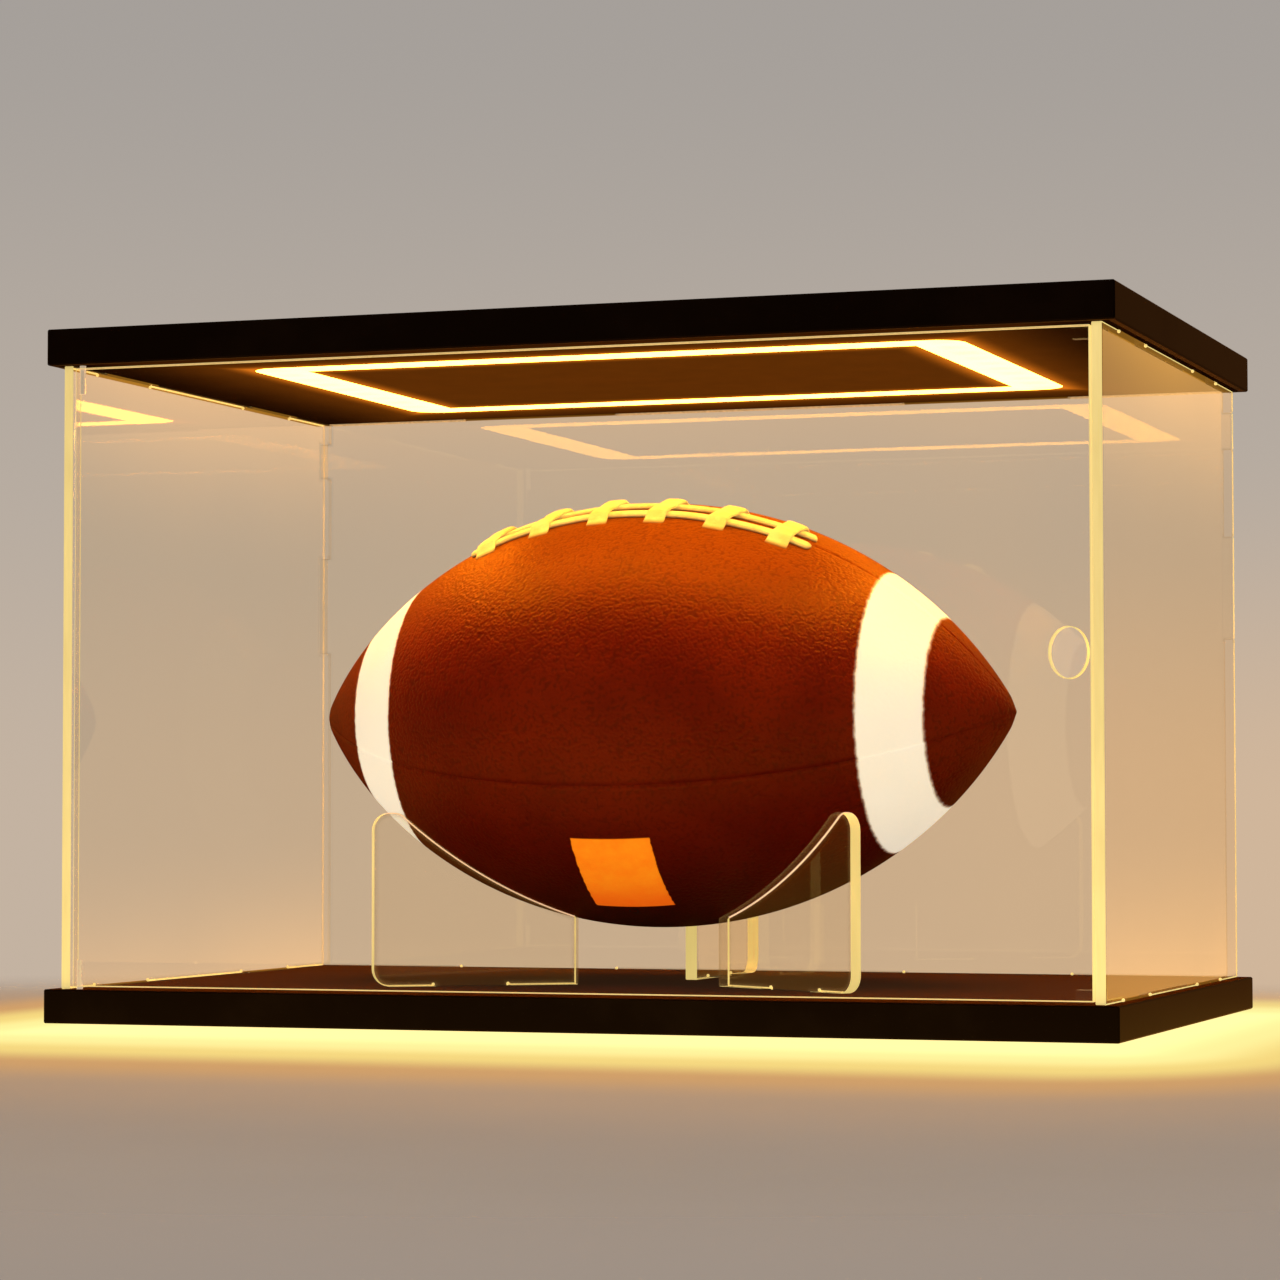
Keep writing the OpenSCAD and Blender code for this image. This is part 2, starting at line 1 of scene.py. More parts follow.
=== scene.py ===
"""Looks of the lit football display case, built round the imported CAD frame. Units are metres."""
import math

import bmesh
import bpy
from mathutils import Matrix, Vector


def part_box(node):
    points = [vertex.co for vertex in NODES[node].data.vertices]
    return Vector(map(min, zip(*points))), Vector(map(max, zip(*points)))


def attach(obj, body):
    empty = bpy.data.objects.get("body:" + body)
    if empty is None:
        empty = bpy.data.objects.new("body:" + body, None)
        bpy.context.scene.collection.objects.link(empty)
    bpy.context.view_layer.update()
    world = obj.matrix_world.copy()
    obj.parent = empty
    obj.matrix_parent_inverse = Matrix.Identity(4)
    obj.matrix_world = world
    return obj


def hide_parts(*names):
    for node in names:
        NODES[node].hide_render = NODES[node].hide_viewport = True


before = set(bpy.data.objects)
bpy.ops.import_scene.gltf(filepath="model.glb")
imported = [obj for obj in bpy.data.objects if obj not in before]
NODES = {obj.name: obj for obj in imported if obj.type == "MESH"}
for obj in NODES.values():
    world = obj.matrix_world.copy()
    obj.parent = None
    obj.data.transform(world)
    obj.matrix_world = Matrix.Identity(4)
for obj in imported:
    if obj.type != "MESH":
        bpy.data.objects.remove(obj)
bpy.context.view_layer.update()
MM = 0.001


# ---------- camera, light and floor ----------

CAMERA_PLACE = (0.50039, -1.4533, 0.08367)
CAMERA_LENS, CAMERA_SENSOR = 108.83, 36.0
CAMERA_YAW, CAMERA_PITCH, CAMERA_ROLL = 19.401, 2.543, -0.066


def make_camera():
    """A long lens low in front of the case, a little to its right."""
    yaw, pitch, roll = math.radians(CAMERA_YAW), math.radians(CAMERA_PITCH), math.radians(CAMERA_ROLL)
    data = bpy.data.cameras.new("camera")
    data.lens, data.sensor_width = CAMERA_LENS, CAMERA_SENSOR
    camera = bpy.data.objects.new("camera", data)
    bpy.context.scene.collection.objects.link(camera)
    forward = Vector((-math.sin(yaw) * math.cos(pitch), math.cos(yaw) * math.cos(pitch), math.sin(pitch)))
    turn = forward.to_track_quat("-Z", "Y") @ Matrix.Rotation(roll, 3, "Z").to_quaternion()
    camera.location = CAMERA_PLACE
    camera.rotation_mode = "QUATERNION"
    camera.rotation_quaternion = turn
    bpy.context.scene.camera = camera


class Graph:
    """A material's node tree, built by short calls. A socket links, and anything else is a plain value."""

    def __init__(self, tree):
        self.tree = tree
        tree.nodes.clear()

    def add(self, kind, inputs=None, **props):
        node = self.tree.nodes.new(kind)
        for key, value in props.items():
            setattr(node, key, value)
        for key, value in (inputs or {}).items():
            if isinstance(value, bpy.types.NodeSocket):
                self.tree.links.new(value, node.inputs[key])
            else:
                node.inputs[key].default_value = value
        return node

    def math(self, operation, a, b=0.0, clamp=False):
        node = self.add("ShaderNodeMath", {0: a, 1: b}, operation=operation)
        node.use_clamp = clamp
        return node.outputs[0]

    def ramp(self, value, low, high, to_low=0.0, to_high=1.0, smooth=True):
        inputs = {"Value": value, "From Min": low, "From Max": high, "To Min": to_low, "To Max": to_high}
        kind = "SMOOTHSTEP" if smooth else "LINEAR"
        return self.add("ShaderNodeMapRange", inputs, interpolation_type=kind).outputs[0]

    def mix(self, factor, a, b):
        node = self.add("ShaderNodeMix", data_type="RGBA")
        for socket, value in ((node.inputs[0], factor), (node.inputs[6], a), (node.inputs[7], b)):
            if isinstance(value, bpy.types.NodeSocket):
                self.tree.links.new(value, socket)
            else:
                socket.default_value = value
        return node.outputs[2]

    def place(self):
        """Object coordinates, which are the CAD frame's metres for a piece whose origin is the frame's."""
        return self.add("ShaderNodeTexCoord").outputs["Object"]

    def noise(self, vector, scale, detail=3.0, rough=0.5, stretch=None):
        if stretch is not None:
            vector = self.add("ShaderNodeMapping", {"Vector": vector, "Scale": stretch}).outputs[0]
        inputs = {"Vector": vector, "Scale": scale, "Detail": detail, "Roughness": rough}
        return self.add("ShaderNodeTexNoise", inputs).outputs["Fac"]

    def cells(self, vector, scale, feature="F1"):
        inputs = {"Vector": vector, "Scale": scale}
        return self.add("ShaderNodeTexVoronoi", inputs, feature=feature).outputs["Distance"]

    def bump(self, height, strength, distance):
        inputs = {"Height": height, "Strength": strength, "Distance": distance}
        return self.add("ShaderNodeBump", inputs).outputs[0]

    def split(self, vector):
        """The X, Y and Z of a vector."""
        return list(self.add("ShaderNodeSeparateXYZ", {"Vector": vector}).outputs)

    def facing_up(self):
        """How far the surface faces up: 1 on a level top, 0 on a side, -1 below."""
        return self.split(self.add("ShaderNodeTexCoord").outputs["Normal"])[2]

    def output(self, shader, kind="ShaderNodeOutputMaterial"):
        self.add(kind, {"Surface": shader})


def rgb(r, g, b):
    return (r, g, b, 1.0)


def new_material(name):
    material = bpy.data.materials.new(name)
    material.use_nodes = True
    return material, Graph(material.node_tree)


def make_world():
    """Soft studio light from all round. The camera sees a pale backdrop, which lights the case more dimly and
    shows in mirrors more dimly still, as in a studio that is dark behind the camera."""
    world = bpy.data.worlds.new("studio")
    bpy.context.scene.world = world
    world.use_nodes = True
    g = Graph(world.node_tree)
    right, forward, up = g.split(g.add("ShaderNodeTexCoord").outputs["Generated"])
    horizon = g.mix(g.ramp(right, -0.5, -0.1), rgb(0.550, 0.450, 0.360), rgb(0.640, 0.470, 0.325))
    colour = g.mix(g.ramp(up, -0.075, -0.040), rgb(0.335, 0.280, 0.238), horizon)
    colour = g.mix(g.ramp(up, 0.0, 0.10), colour, rgb(0.470, 0.410, 0.355))
    colour = g.mix(g.ramp(up, 0.08, 0.21), colour, rgb(0.380, 0.350, 0.325))
    colour = g.mix(g.ramp(up, 0.35, 0.95), colour, rgb(0.75, 0.72, 0.68))
    seen = g.add("ShaderNodeBackground", {"Color": colour, "Strength": 1.0}).outputs[0]
    diffuse = g.add("ShaderNodeBackground", {"Color": colour, "Strength": 0.28}).outputs[0]
    warmed = g.add("ShaderNodeVectorMath", {0: colour, 1: (1.0, 0.85, 0.66)}, operation="MULTIPLY").outputs[0]
    behind = g.mix(g.ramp(forward, -0.1, 0.35), rgb(0.030, 0.012, 0.004), warmed)
    mirrored = g.add("ShaderNodeBackground", {"Color": behind, "Strength": 1.0}).outputs[0]
    ray = g.add("ShaderNodeLightPath").outputs
    lighting = g.add("ShaderNodeMixShader", {0: ray["Is Diffuse Ray"], 1: mirrored, 2: diffuse}).outputs[0]
    shader = g.add("ShaderNodeMixShader", {0: ray["Is Camera Ray"], 1: lighting, 2: seen}).outputs[0]
    g.output(shader, "ShaderNodeOutputWorld")


def area_light(name, place, aim, size, power, colour):
    """A soft light that lights the case but isn't seen, not even in mirrors."""
    data = bpy.data.lights.new(name, "AREA")
    data.shape, data.size, data.size_y = "RECTANGLE", size[0], size[1]
    data.energy, data.color = power, colour
    light = bpy.data.objects.new(name, data)
    light.location = place
    light.rotation_mode = "QUATERNION"
    light.rotation_quaternion = Vector(aim).to_track_quat("-Z", "Y")
    light.visible_camera = light.visible_glossy = False
    bpy.context.scene.collection.objects.link(light)


# how far the painted pool of light reaches out from the base
PAINTED_POOL_REACH = 0.52
FLOOR_REACH = 1.2


def make_floor():
    """A pale floor. Near the base it carries a painted pool of light in place of the light from the
    under-base strip, which fades from yellow-white to orange, and far away it fades out into the backdrop."""
    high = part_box("base_shell")[1]
    material, g = new_material("studio_floor")
    at = g.place()
    x, y, _ = g.split(at)
    over_x = g.math("MAXIMUM", g.math("SUBTRACT", g.math("ABSOLUTE", x), high.x), 0.0)
    over_x = g.math("MULTIPLY", over_x, 1.7)
    over_y = g.math("MAXIMUM", g.math("SUBTRACT", g.math("ABSOLUTE", y), high.y), 0.0)
    square = [g.math("MULTIPLY", over, over) for over in (over_x, over_y)]
    away = g.math("SQRT", g.math("ADD", square[0], square[1]))
    mottle = g.noise(at, 3.0, 4.0, 0.6)
    plain = g.add("ShaderNodeBsdfPrincipled", {
        "Base Color": g.mix(mottle, rgb(0.44, 0.375, 0.32), rgb(0.49, 0.415, 0.355)),
        "Roughness": 0.8, "Specular IOR Level": 0.1,
        "Emission Color": rgb(0.340, 0.272, 0.222), "Emission Strength": g.ramp(mottle, 0.2, 0.8, 0.56, 0.62),
        "Normal": g.bump(g.noise(at, 160.0, 4.0), 0.15, 0.0005),
    }).outputs[0]
    # painted pool of light: emission by distance from the base, yellow-white near it and orange further out
    pool = g.add("ShaderNodeValToRGB", {"Fac": g.ramp(away, 0.0, PAINTED_POOL_REACH, smooth=False)})
    painted_pool_stops = ((0.0, (1.30, 1.06, 0.42)), (0.09, (1.05, 0.92, 0.34)), (0.19, (0.97, 0.73, 0.22)),
             (0.32, (0.70, 0.37, 0.130)), (0.50, (0.50, 0.31, 0.18)), (1.0, (0.33, 0.27, 0.23)))
    ramp = pool.color_ramp
    ramp.interpolation = "EASE"
    while len(ramp.elements) < len(painted_pool_stops):
        ramp.elements.new(0.5)
    for element, (where, colour) in zip(ramp.elements, painted_pool_stops):
        element.position, element.color = where, rgb(*colour)
    glow = g.add("ShaderNodeEmission", {"Color": pool.outputs["Color"], "Strength": 1.0}).outputs[0]
    share = g.ramp(away, 0.0, PAINTED_POOL_REACH, 1.0, 0.0)
    lit = g.add("ShaderNodeMixShader", {0: share, 1: plain, 2: glow}).outputs[0]
    gone = g.add("ShaderNodeBsdfTransparent").outputs[0]
    span = g.add("ShaderNodeVectorMath", {0: at}, operation="LENGTH").outputs["Value"]
    rear = g.math("MULTIPLY", g.math("MAXIMUM", y, 0.0), 1.2)
    fade = g.ramp(g.math("ADD", span, rear), 0.42, 1.0)
    g.output(g.add("ShaderNodeMixShader", {0: fade, 1: lit, 2: gone}).outputs[0])
    mesh = bpy.data.meshes.new("floor")
    corners = [(a * FLOOR_REACH, b * FLOOR_REACH, 0) for a, b in ((-1, -1), (1, -1), (1, 1), (-1, 1))]
    mesh.from_pydata(corners, [], [(0, 1, 2, 3)])
    mesh.materials.append(material)
    floor = bpy.data.objects.new("floor", mesh)
    bpy.context.scene.collection.objects.link(floor)


def make_studio():
    """The world, a large soft light at the front left, a fill light just under the ring, and the floor."""
    make_world()
    area_light("soft_front", (-0.9, -1.9, 0.9), (0.9, 1.9, -0.75), (0.8, 0.8), 5.5, (1.0, 0.82, 0.58))
    low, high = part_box("light_ring_diffuser")
    under_ring = ((low.x + high.x) / 2, (low.y + high.y) / 2, low.z - 6 * MM)
    area_light("ring_fill", under_ring, (0, 0, -1), (high.x - low.x, high.y - low.y), 0.4, (1.0, 0.50, 0.06))
    make_floor()


# ---------- materials ----------

def black_acrylic():
    """Satin black acrylic: polishing lines, fingerprints and a little dust. The base's top is frosted, and
    its orange-brown colour is a painted warm glow.
    """
    material, g = new_material("black_acrylic")
    at = g.place()
    smudge = g.ramp(g.noise(at, 22.0, 5.0, 0.6), 0.45, 0.75)
    lines = g.noise(at, 260.0, 2.0, 0.5, stretch=(0.12, 1.0, 1.0))
    dust = g.ramp(g.cells(at, 420.0), 0.06, 0.02)
    colour = g.mix(smudge, rgb(0.0085, 0.0040, 0.0018), rgb(0.013, 0.0065, 0.0032))
    colour = g.mix(g.math("MULTIPLY", dust, 0.5), colour, rgb(0.08, 0.05, 0.03))
    relief = g.bump(g.math("ADD", lines, g.math("MULTIPLY", dust, 2.0)), 0.08, 0.0002)
    rough = g.math("ADD", g.ramp(smudge, 0.0, 1.0, 0.40, 0.56), g.math("MULTIPLY", lines, 0.06))
    satin = g.add("ShaderNodeBsdfPrincipled", {
        "Base Color": colour, "Roughness": rough, "Specular IOR Level": 0.0, "Normal": relief,
    }).outputs[0]
    sheen = g.add("ShaderNodeBsdfGlossy", {
        "Color": rgb(1.0, 0.52, 0.20), "Roughness": g.math("SUBTRACT", rough, 0.06), "Normal": relief,
    }).outputs[0]
    weight = g.math("MULTIPLY", g.add("ShaderNodeFresnel", {"IOR": 1.25}).outputs[0], 0.20)
    glossed = g.add("ShaderNodeMixShader", {0: weight, 1: satin, 2: sheen}).outputs[0]
    # painted light: the level top below the lid takes an orange-brown colour for the lamps' warm light on the
    # black acrylic
    painted_glow_tone = g.mix(g.noise(at, 1200.0, 3.0), rgb(0.090, 0.0230, 0.0015), rgb(0.118, 0.0320, 0.0026))
    frosted_top_painted_glow = g.add("ShaderNodeBsdfPrincipled", {
        "Base Color": g.mix(g.math("MULTIPLY", dust, 0.4), painted_glow_tone, rgb(0.16, 0.08, 0.03)),
        "Roughness": 0.62, "Specular IOR Level": 0.0, "Normal": relief,
    }).outputs[0]
    below_lid = g.math("LESS_THAN", g.split(at)[2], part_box("lid_shell")[0].z)
    level = g.math("MULTIPLY", g.ramp(g.facing_up(), 0.90, 0.99), below_lid)
    g.output(g.add("ShaderNodeMixShader", {0: level, 1: glossed, 2: frosted_top_painted_glow}).outputs[0])
    return material


def lid_underside():
    """Dark smoked plate with a painted halo: the ring's light is painted as a warm emission that creeps into
    it and fades with distance.
    """
    material, g = new_material("lid_underside")
    at = g.place()
    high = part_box("light_ring_diffuser")[1]
    band_x, band_y = 20 * MM, 14.5 * MM
    x, y, _ = g.split(at)
    far_x, far_y = g.math("ABSOLUTE", x), g.math("ABSOLUTE", y)
    outside = g.math("MAXIMUM", g.math("SUBTRACT", far_x, high.x), g.math("SUBTRACT", far_y, high.y))
    inner_x, inner_y = high.x - band_x, high.y - band_y
    inside = g.math("MINIMUM", g.math("SUBTRACT", inner_x, far_x), g.math("SUBTRACT", inner_y, far_y))
    distance = g.math("MAXIMUM", outside, inside)
    # painted halo: strong close to the ring, faint further out, and faint and even inside the ring
    near = g.math("POWER", g.ramp(distance, 0.0, 11 * MM, 1.0, 0.0, smooth=False), 2.2)
    painted_halo_wide = g.math("POWER", g.ramp(distance, 0.0, 60 * MM, 1.0, 0.0, smooth=False), 2.0)
    painted_halo_wide = g.math("MULTIPLY", painted_halo_wide, 0.16)
    painted_glow_inside = g.math("MULTIPLY", g.math("GREATER_THAN", inside, 0.0), 0.105)
    glow = g.math("ADD", g.math("MULTIPLY", near, 0.60), g.math("MAXIMUM", painted_halo_wide, painted_glow_inside))
    grain = g.ramp(g.noise(at, 70.0, 4.0, 0.6), 0.0, 1.0, 0.85, 1.1)
    smudge = g.ramp(g.noise(at, 30.0, 4.0), 0.4, 0.7)
    shader = g.add("ShaderNodeBsdfPrincipled", {
        "Base Color": g.mix(smudge, rgb(0.016, 0.0055, 0.0012), rgb(0.024, 0.0085, 0.0022)),
        "Roughness": g.ramp(smudge, 0.0, 1.0, 0.34, 0.48), "Specular IOR Level": 0.0,
        "Emission Color": rgb(1.0, 0.25, 0.014), "Emission Strength": g.math("MULTIPLY", grain, glow),
    })
    g.output(shader.outputs[0])
    return material


def clear_acrylic(name, veil, creep_share, light, top=0.0, bottom=0.0):
    """A clear sheet's face: see-through, mirror-like by Fresnel, with faint smears, wiped streaks and dust.
    Beside a cut edge the sheet's painted glow creeps into the face. light is the face's own faint painted
    warm glow, and top and bottom are its stronger painted glow beside the lamps, which shows at a low angle
    to the sheet."""
    material, g = new_material(name)
    at = g.place()
    smear = g.ramp(g.noise(at, 14.0, 5.0, 0.62), 0.42, 0.8)
    streak = g.noise(at, 55.0, 3.0, 0.5, stretch=(1.0, 1.0, 0.16))
    dust = g.ramp(g.cells(at, 260.0), 0.035, 0.012)
    rim = g.add("ShaderNodeAttribute", attribute_name="rim").outputs["Fac"]
    # painted glow that creeps into the face from the cut edges
    painted_creep_glow = g.math("MULTIPLY", g.math("POWER", rim, 2.0), creep_share)
    through = g.add("ShaderNodeBsdfTransparent", {"Color": rgb(0.992, 0.980, 0.950)}).outputs[0]
    height = g.split(at)[2]
    base_top, lid_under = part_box("base_shell")[1].z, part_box("lid_shell")[0].z
    below_lid, above_base = g.math("LESS_THAN", height, lid_under), g.math("GREATER_THAN", height, base_top)
    shown = g.math("MULTIPLY", below_lid, above_base)
    # painted glow, strongest beside the lid and beside the base
    upper = g.math("POWER", g.ramp(height, lid_under - 80 * MM, lid_under, smooth=False), 2.0)
    lower = g.math("POWER", g.ramp(height, base_top, base_top + 70 * MM, 1.0, 0.0, smooth=False), 2.0)
    facing = g.add("ShaderNodeLayerWeight", {"Blend": 0.5}).outputs["Facing"]
    lamps = g.math("ADD", g.math("MULTIPLY", upper, top), g.math("MULTIPLY", lower, bottom))
    lamps = g.math("MULTIPLY", lamps, g.math("POWER", facing, 1.5))
    cloud = g.ramp(g.noise(at, 5.0, 2.0), 0.3, 0.7, 0.85, 1.15)
    even = g.math("MULTIPLY", g.math("ADD", g.math("MULTIPLY", upper, 3.0), 1.0), light)
    painted_glow_strength = g.math("MULTIPLY", g.math("MULTIPLY", cloud, shown), g.math("ADD", lamps, even))
    glow = g.add("ShaderNodeEmission", {"Color": rgb(1.0, 0.45, 0.05), "Strength": painted_glow_strength}).outputs[0]
    clear = g.add("ShaderNodeAddShader", {0: through, 1: glow}).outputs[0]
    film = g.add("ShaderNodeBsdfPrincipled", {
        "Base Color": rgb(0.72, 0.60, 0.38), "Roughness": 0.6, "Specular IOR Level": 0.2,
        "Emission Color": rgb(1.0, 0.60, 0.17), "Emission Strength": g.ramp(painted_creep_glow, 0.0, 0.5, 0.0, 0.60),
    }).outputs[0]
    # real smears, streaks and dust, with the painted edge glow over them
    haze_and_painted_glow = g.math("ADD", g.math("MULTIPLY", smear, veil), g.math("MULTIPLY", streak, veil * 0.6))
    haze_and_painted_glow = g.math("MAXIMUM", g.math("ADD", haze_and_painted_glow, g.math("MULTIPLY", dust, 0.05)), painted_creep_glow, clamp=True)
    body = g.add("ShaderNodeMixShader", {0: haze_and_painted_glow, 1: clear, 2: film}).outputs[0]
    ripple = g.bump(g.noise(at, 9.0, 2.0), 0.04, 0.002)
    gloss = g.add("ShaderNodeBsdfGlossy", {
        "Color": rgb(1.0, 0.89, 0.68), "Roughness": g.ramp(smear, 0.0, 1.0, 0.015, 0.05), "Normal": ripple,
    }).outputs[0]
    outer = g.math("SUBTRACT", 1.0, g.add("ShaderNodeNewGeometry").outputs["Backfacing"])
    mirror = g.math("MULTIPLY", g.add("ShaderNodeFresnel", {"IOR": 1.49}).outputs[0], outer)
    g.output(g.add("ShaderNodeMixShader", {0: mirror, 1: body, 2: gloss}).outputs[0])
    return material


def quiet_edge(name, solid, strength, hue):
    """A polished edge that carries less of the painted light: see-through for the rest, with a pale warm
    shine that is painted glow.
    """
    material, g = new_material(name)
    at = g.place()
    marks = g.noise(at, 700.0, 2.0, 0.5, stretch=(1.0, 1.0, 0.1))
    body = g.add("ShaderNodeBsdfPrincipled", {
        "Base Color": g.mix(marks, rgb(0.62, 0.46, 0.26), rgb(0.74, 0.58, 0.36)), "Roughness": 0.25,
        "Emission Color": rgb(*hue),
        "Emission Strength": g.ramp(marks, 0.2, 0.8, 0.85 * strength, 1.15 * strength),
        "Normal": g.bump(marks, 0.15, 0.0001),
    }).outputs[0]
    through = g.add("ShaderNodeBsdfTransparent", {"Color": rgb(0.985, 0.95, 0.88)}).outputs[0]
    share = g.ramp(marks, 0.2, 0.8, 0.85 * solid, 1.15 * solid)
    g.output(g.add("ShaderNodeMixShader", {0: share, 1: through, 2: body}).outputs[0])
    return material


def glowing_edge(name, strength, hue=(1.0, 0.79, 0.27)):
    """A sheet's laser-cut edge, which carries the lamps' light as painted glow: fine upright cut marks and
    brighter spots.
    """
    material, g = new_material(name)
    at = g.place()
    marks = g.noise(at, 900.0, 2.0, 0.5, stretch=(1.0, 1.0, 0.08))
    slow = g.noise(at, 12.0, 3.0, 0.5)
    glow = g.math("MULTIPLY", g.ramp(slow, 0.3, 0.7, 0.88, 1.10), g.ramp(marks, 0.2, 0.8, 0.93, 1.05))
    shader = g.add("ShaderNodeBsdfPrincipled", {
        "Base Color": g.mix(slow, rgb(0.72, 0.56, 0.30), rgb(0.80, 0.66, 0.40)),
        "Roughness": g.ramp(marks, 0.0, 1.0, 0.20, 0.38),
        "Emission Color": rgb(*hue), "Emission Strength": g.math("MULTIPLY", glow, strength),
        "Normal": g.bump(marks, 0.2, 0.0001),
    })
    g.output(shader.outputs[0])
    return material


def lit_diffuser(name, pitch, strength, hue):
    """Opal cover over a row of light chips: slightly brighter over each chip."""
    material, g = new_material(name)
    at = g.place()
    waves = [g.math("COSINE", g.math("MULTIPLY", way, 2 * math.pi / pitch)) for way in g.split(at)[:2]]
    spot = g.math("MAXIMUM", waves[0], waves[1])
    cloud = g.noise(at, 40.0, 3.0)
    level = g.math("ADD", g.ramp(spot, -1.0, 1.0, 0.92, 1.06), g.ramp(cloud, 0.3, 0.7, -0.04, 0.04))
    shader = g.add("ShaderNodeBsdfPrincipled", {
        "Base Color": g.mix(cloud, rgb(0.88, 0.84, 0.74), rgb(0.93, 0.90, 0.82)), "Roughness": 0.45,
        "Emission Color": rgb(*hue), "Emission Strength": g.math("MULTIPLY", level, strength),
        "Normal": g.bump(g.noise(at, 1500.0, 2.0), 0.1, 0.00005),
    })
    g.output(shader.outputs[0])
    return material


def ball_coordinates(g, centre):
    """(axial distance, turn in degrees from the top towards the front) of a point on the ball."""
    x, y, z = g.split(g.place())
    axial = g.math("SUBTRACT", x, centre.x)
    up = g.math("SUBTRACT", z, centre.z)
    forwards = g.math("SUBTRACT", centre.y, y)
    turn = g.math("MULTIPLY", g.math("ARCTAN2", forwards, up), 180 / math.pi)
    return axial, turn


def between(g, value, low, high, soft):
    """1 inside low..high, 0 outside, over a soft edge."""
    rise = g.ramp(value, low - soft, low + soft)
    fall = g.ramp(value, high - soft, high + soft, 1.0, 0.0)
    return g.math("MULTIPLY", rise, fall)


RING_ENDS = (95 * MM, 117 * MM)
PATCH_ENDS, PATCH_TURNS = (-14 * MM, 18 * MM), (125.4, 153.3)


def pebbled_leather(centre):
    """Tanned pebbled leather with two painted cream rings and a blank patch. A golden highlight on its upper
    side and the shade below and between its pebbles are painted, and the rings and the patch glow with
    painted light.
    """
    material, g = new_material("ball_leather")
    at = g.place()
    axial, turn = ball_coordinates(g, centre)
    wobble = g.ramp(g.noise(at, 380.0, 3.0), 0.2, 0.8, -0.00025, 0.00025)
    far = g.math("ADD", g.math("ABSOLUTE", axial), wobble)
    ring = between(g, far, *RING_ENDS, 0.8 * MM)
    patch = g.math("MULTIPLY", between(g, g.math("ADD", axial, wobble), *PATCH_ENDS, 0.3 * MM),
                   between(g, turn, *PATCH_TURNS, 0.3))
    scatter = g.add("ShaderNodeTexNoise", {"Vector": at, "Scale": 500.0}).outputs["Color"]
    warp = g.add("ShaderNodeMixRGB", {0: 0.0012, 1: at, 2: scatter}, blend_type="ADD").outputs[0]
    pebble = g.cells(warp, 820.0, "SMOOTH_F1")
    dome = g.ramp(pebble, 0.15, 0.75, 1.0, 0.0)
    pores = g.noise(at, 2600.0, 3.0, 0.6)
    mottle = g.noise(at, 17.0, 5.0, 0.6)
    hide_and_painted_light = g.mix(g.ramp(mottle, 0.32, 0.68), rgb(0.205, 0.0055, 0.0003), rgb(0.300, 0.0135, 0.0006))
    up = g.facing_up()
    # painted highlight: golden on the upper side
    hide_and_painted_light = g.mix(g.ramp(up, 0.30, 0.95, 0.0, 0.85), hide_and_painted_light, rgb(0.26, 0.062, 0.0010))
    # painted shade: darker and redder on the underside
    hide_and_painted_light = g.mix(g.ramp(up, -0.9, 0.0, 0.55, 0.0), hide_and_painted_light, rgb(0.120, 0.0020, 0.0001))
    # painted shade: darker in the hollows between the pebbles
    hide_and_painted_light = g.mix(g.ramp(dome, 0.0, 0.5, 0.45, 0.0), hide_and_painted_light, rgb(0.105, 0.0030, 0.0002))
    scuff = g.ramp(g.noise(at, 95.0, 6.0, 0.7), 0.66, 0.80)
    hide_and_painted_light = g.mix(g.math("MULTIPLY", scuff, 0.25), hide_and_painted_light, rgb(0.42, 0.07, 0.004))
    paint = g.mix(g.noise(at, 60.0, 4.0), rgb(0.94, 0.89, 0.76), rgb(0.98, 0.94, 0.84))
    worn = g.math("MULTIPLY", ring, g.ramp(g.noise(at, 700.0, 4.0, 0.7), 0.22, 0.30, 0.75, 1.0))
    stain = g.mix(g.noise(at, 130.0, 5.0, 0.65), rgb(0.90, 0.15, 0.004), rgb(0.98, 0.32, 0.010))
    # the patch: orange of random tone, darker red towards its lower edge
    stain = g.mix(g.ramp(turn, 138.0, 152.0, 0.0, 0.7), stain, rgb(0.84, 0.09, 0.004))
    colour = g.mix(patch, g.mix(worn, hide_and_painted_light, paint), stain)
    smooth = g.math("MAXIMUM", ring, patch)
    relief = g.math("MULTIPLY", g.math("ADD", dome, g.math("MULTIPLY", pores, 0.25)),
                    g.ramp(smooth, 0.0, 1.0, 1.0, 0.28))
    # painted glow: the rings and the patch give out a little light
    glow = g.math("ADD", g.math("MULTIPLY", ring, 0.74), g.math("MULTIPLY", patch, 0.84))
    rough = g.math("ADD", g.ramp(mottle, 0.3, 0.7, 0.34, 0.46), g.math("MULTIPLY", pores, 0.06))
    normal = g.bump(relief, 0.55, 0.00035)
    matt = g.add("ShaderNodeBsdfPrincipled", {
        "Base Color": colour, "Roughness": rough, "Specular IOR Level": 0.0,
        "Emission Color": colour, "Emission Strength": glow, "Normal": normal,
    }).outputs[0]
    sheen = g.add("ShaderNodeBsdfGlossy", {
        "Color": rgb(1.0, 0.52, 0.13), "Roughness": rough, "Normal": normal,
    }).outputs[0]
    fresnel = g.add("ShaderNodeFresnel", {"IOR": 1.5, "Normal": normal}).outputs[0]
    weight = g.math("MINIMUM", g.math("MULTIPLY", fresnel, 1.15), 0.16)
    # painted shade: the sheen is weaker on the lower side
    weight = g.math("MULTIPLY", weight, g.ramp(up, -0.6, 0.3, 0.35, 1.0))
    g.output(g.add("ShaderNodeMixShader", {0: weight, 1: matt, 2: sheen}).outputs[0])
    return material


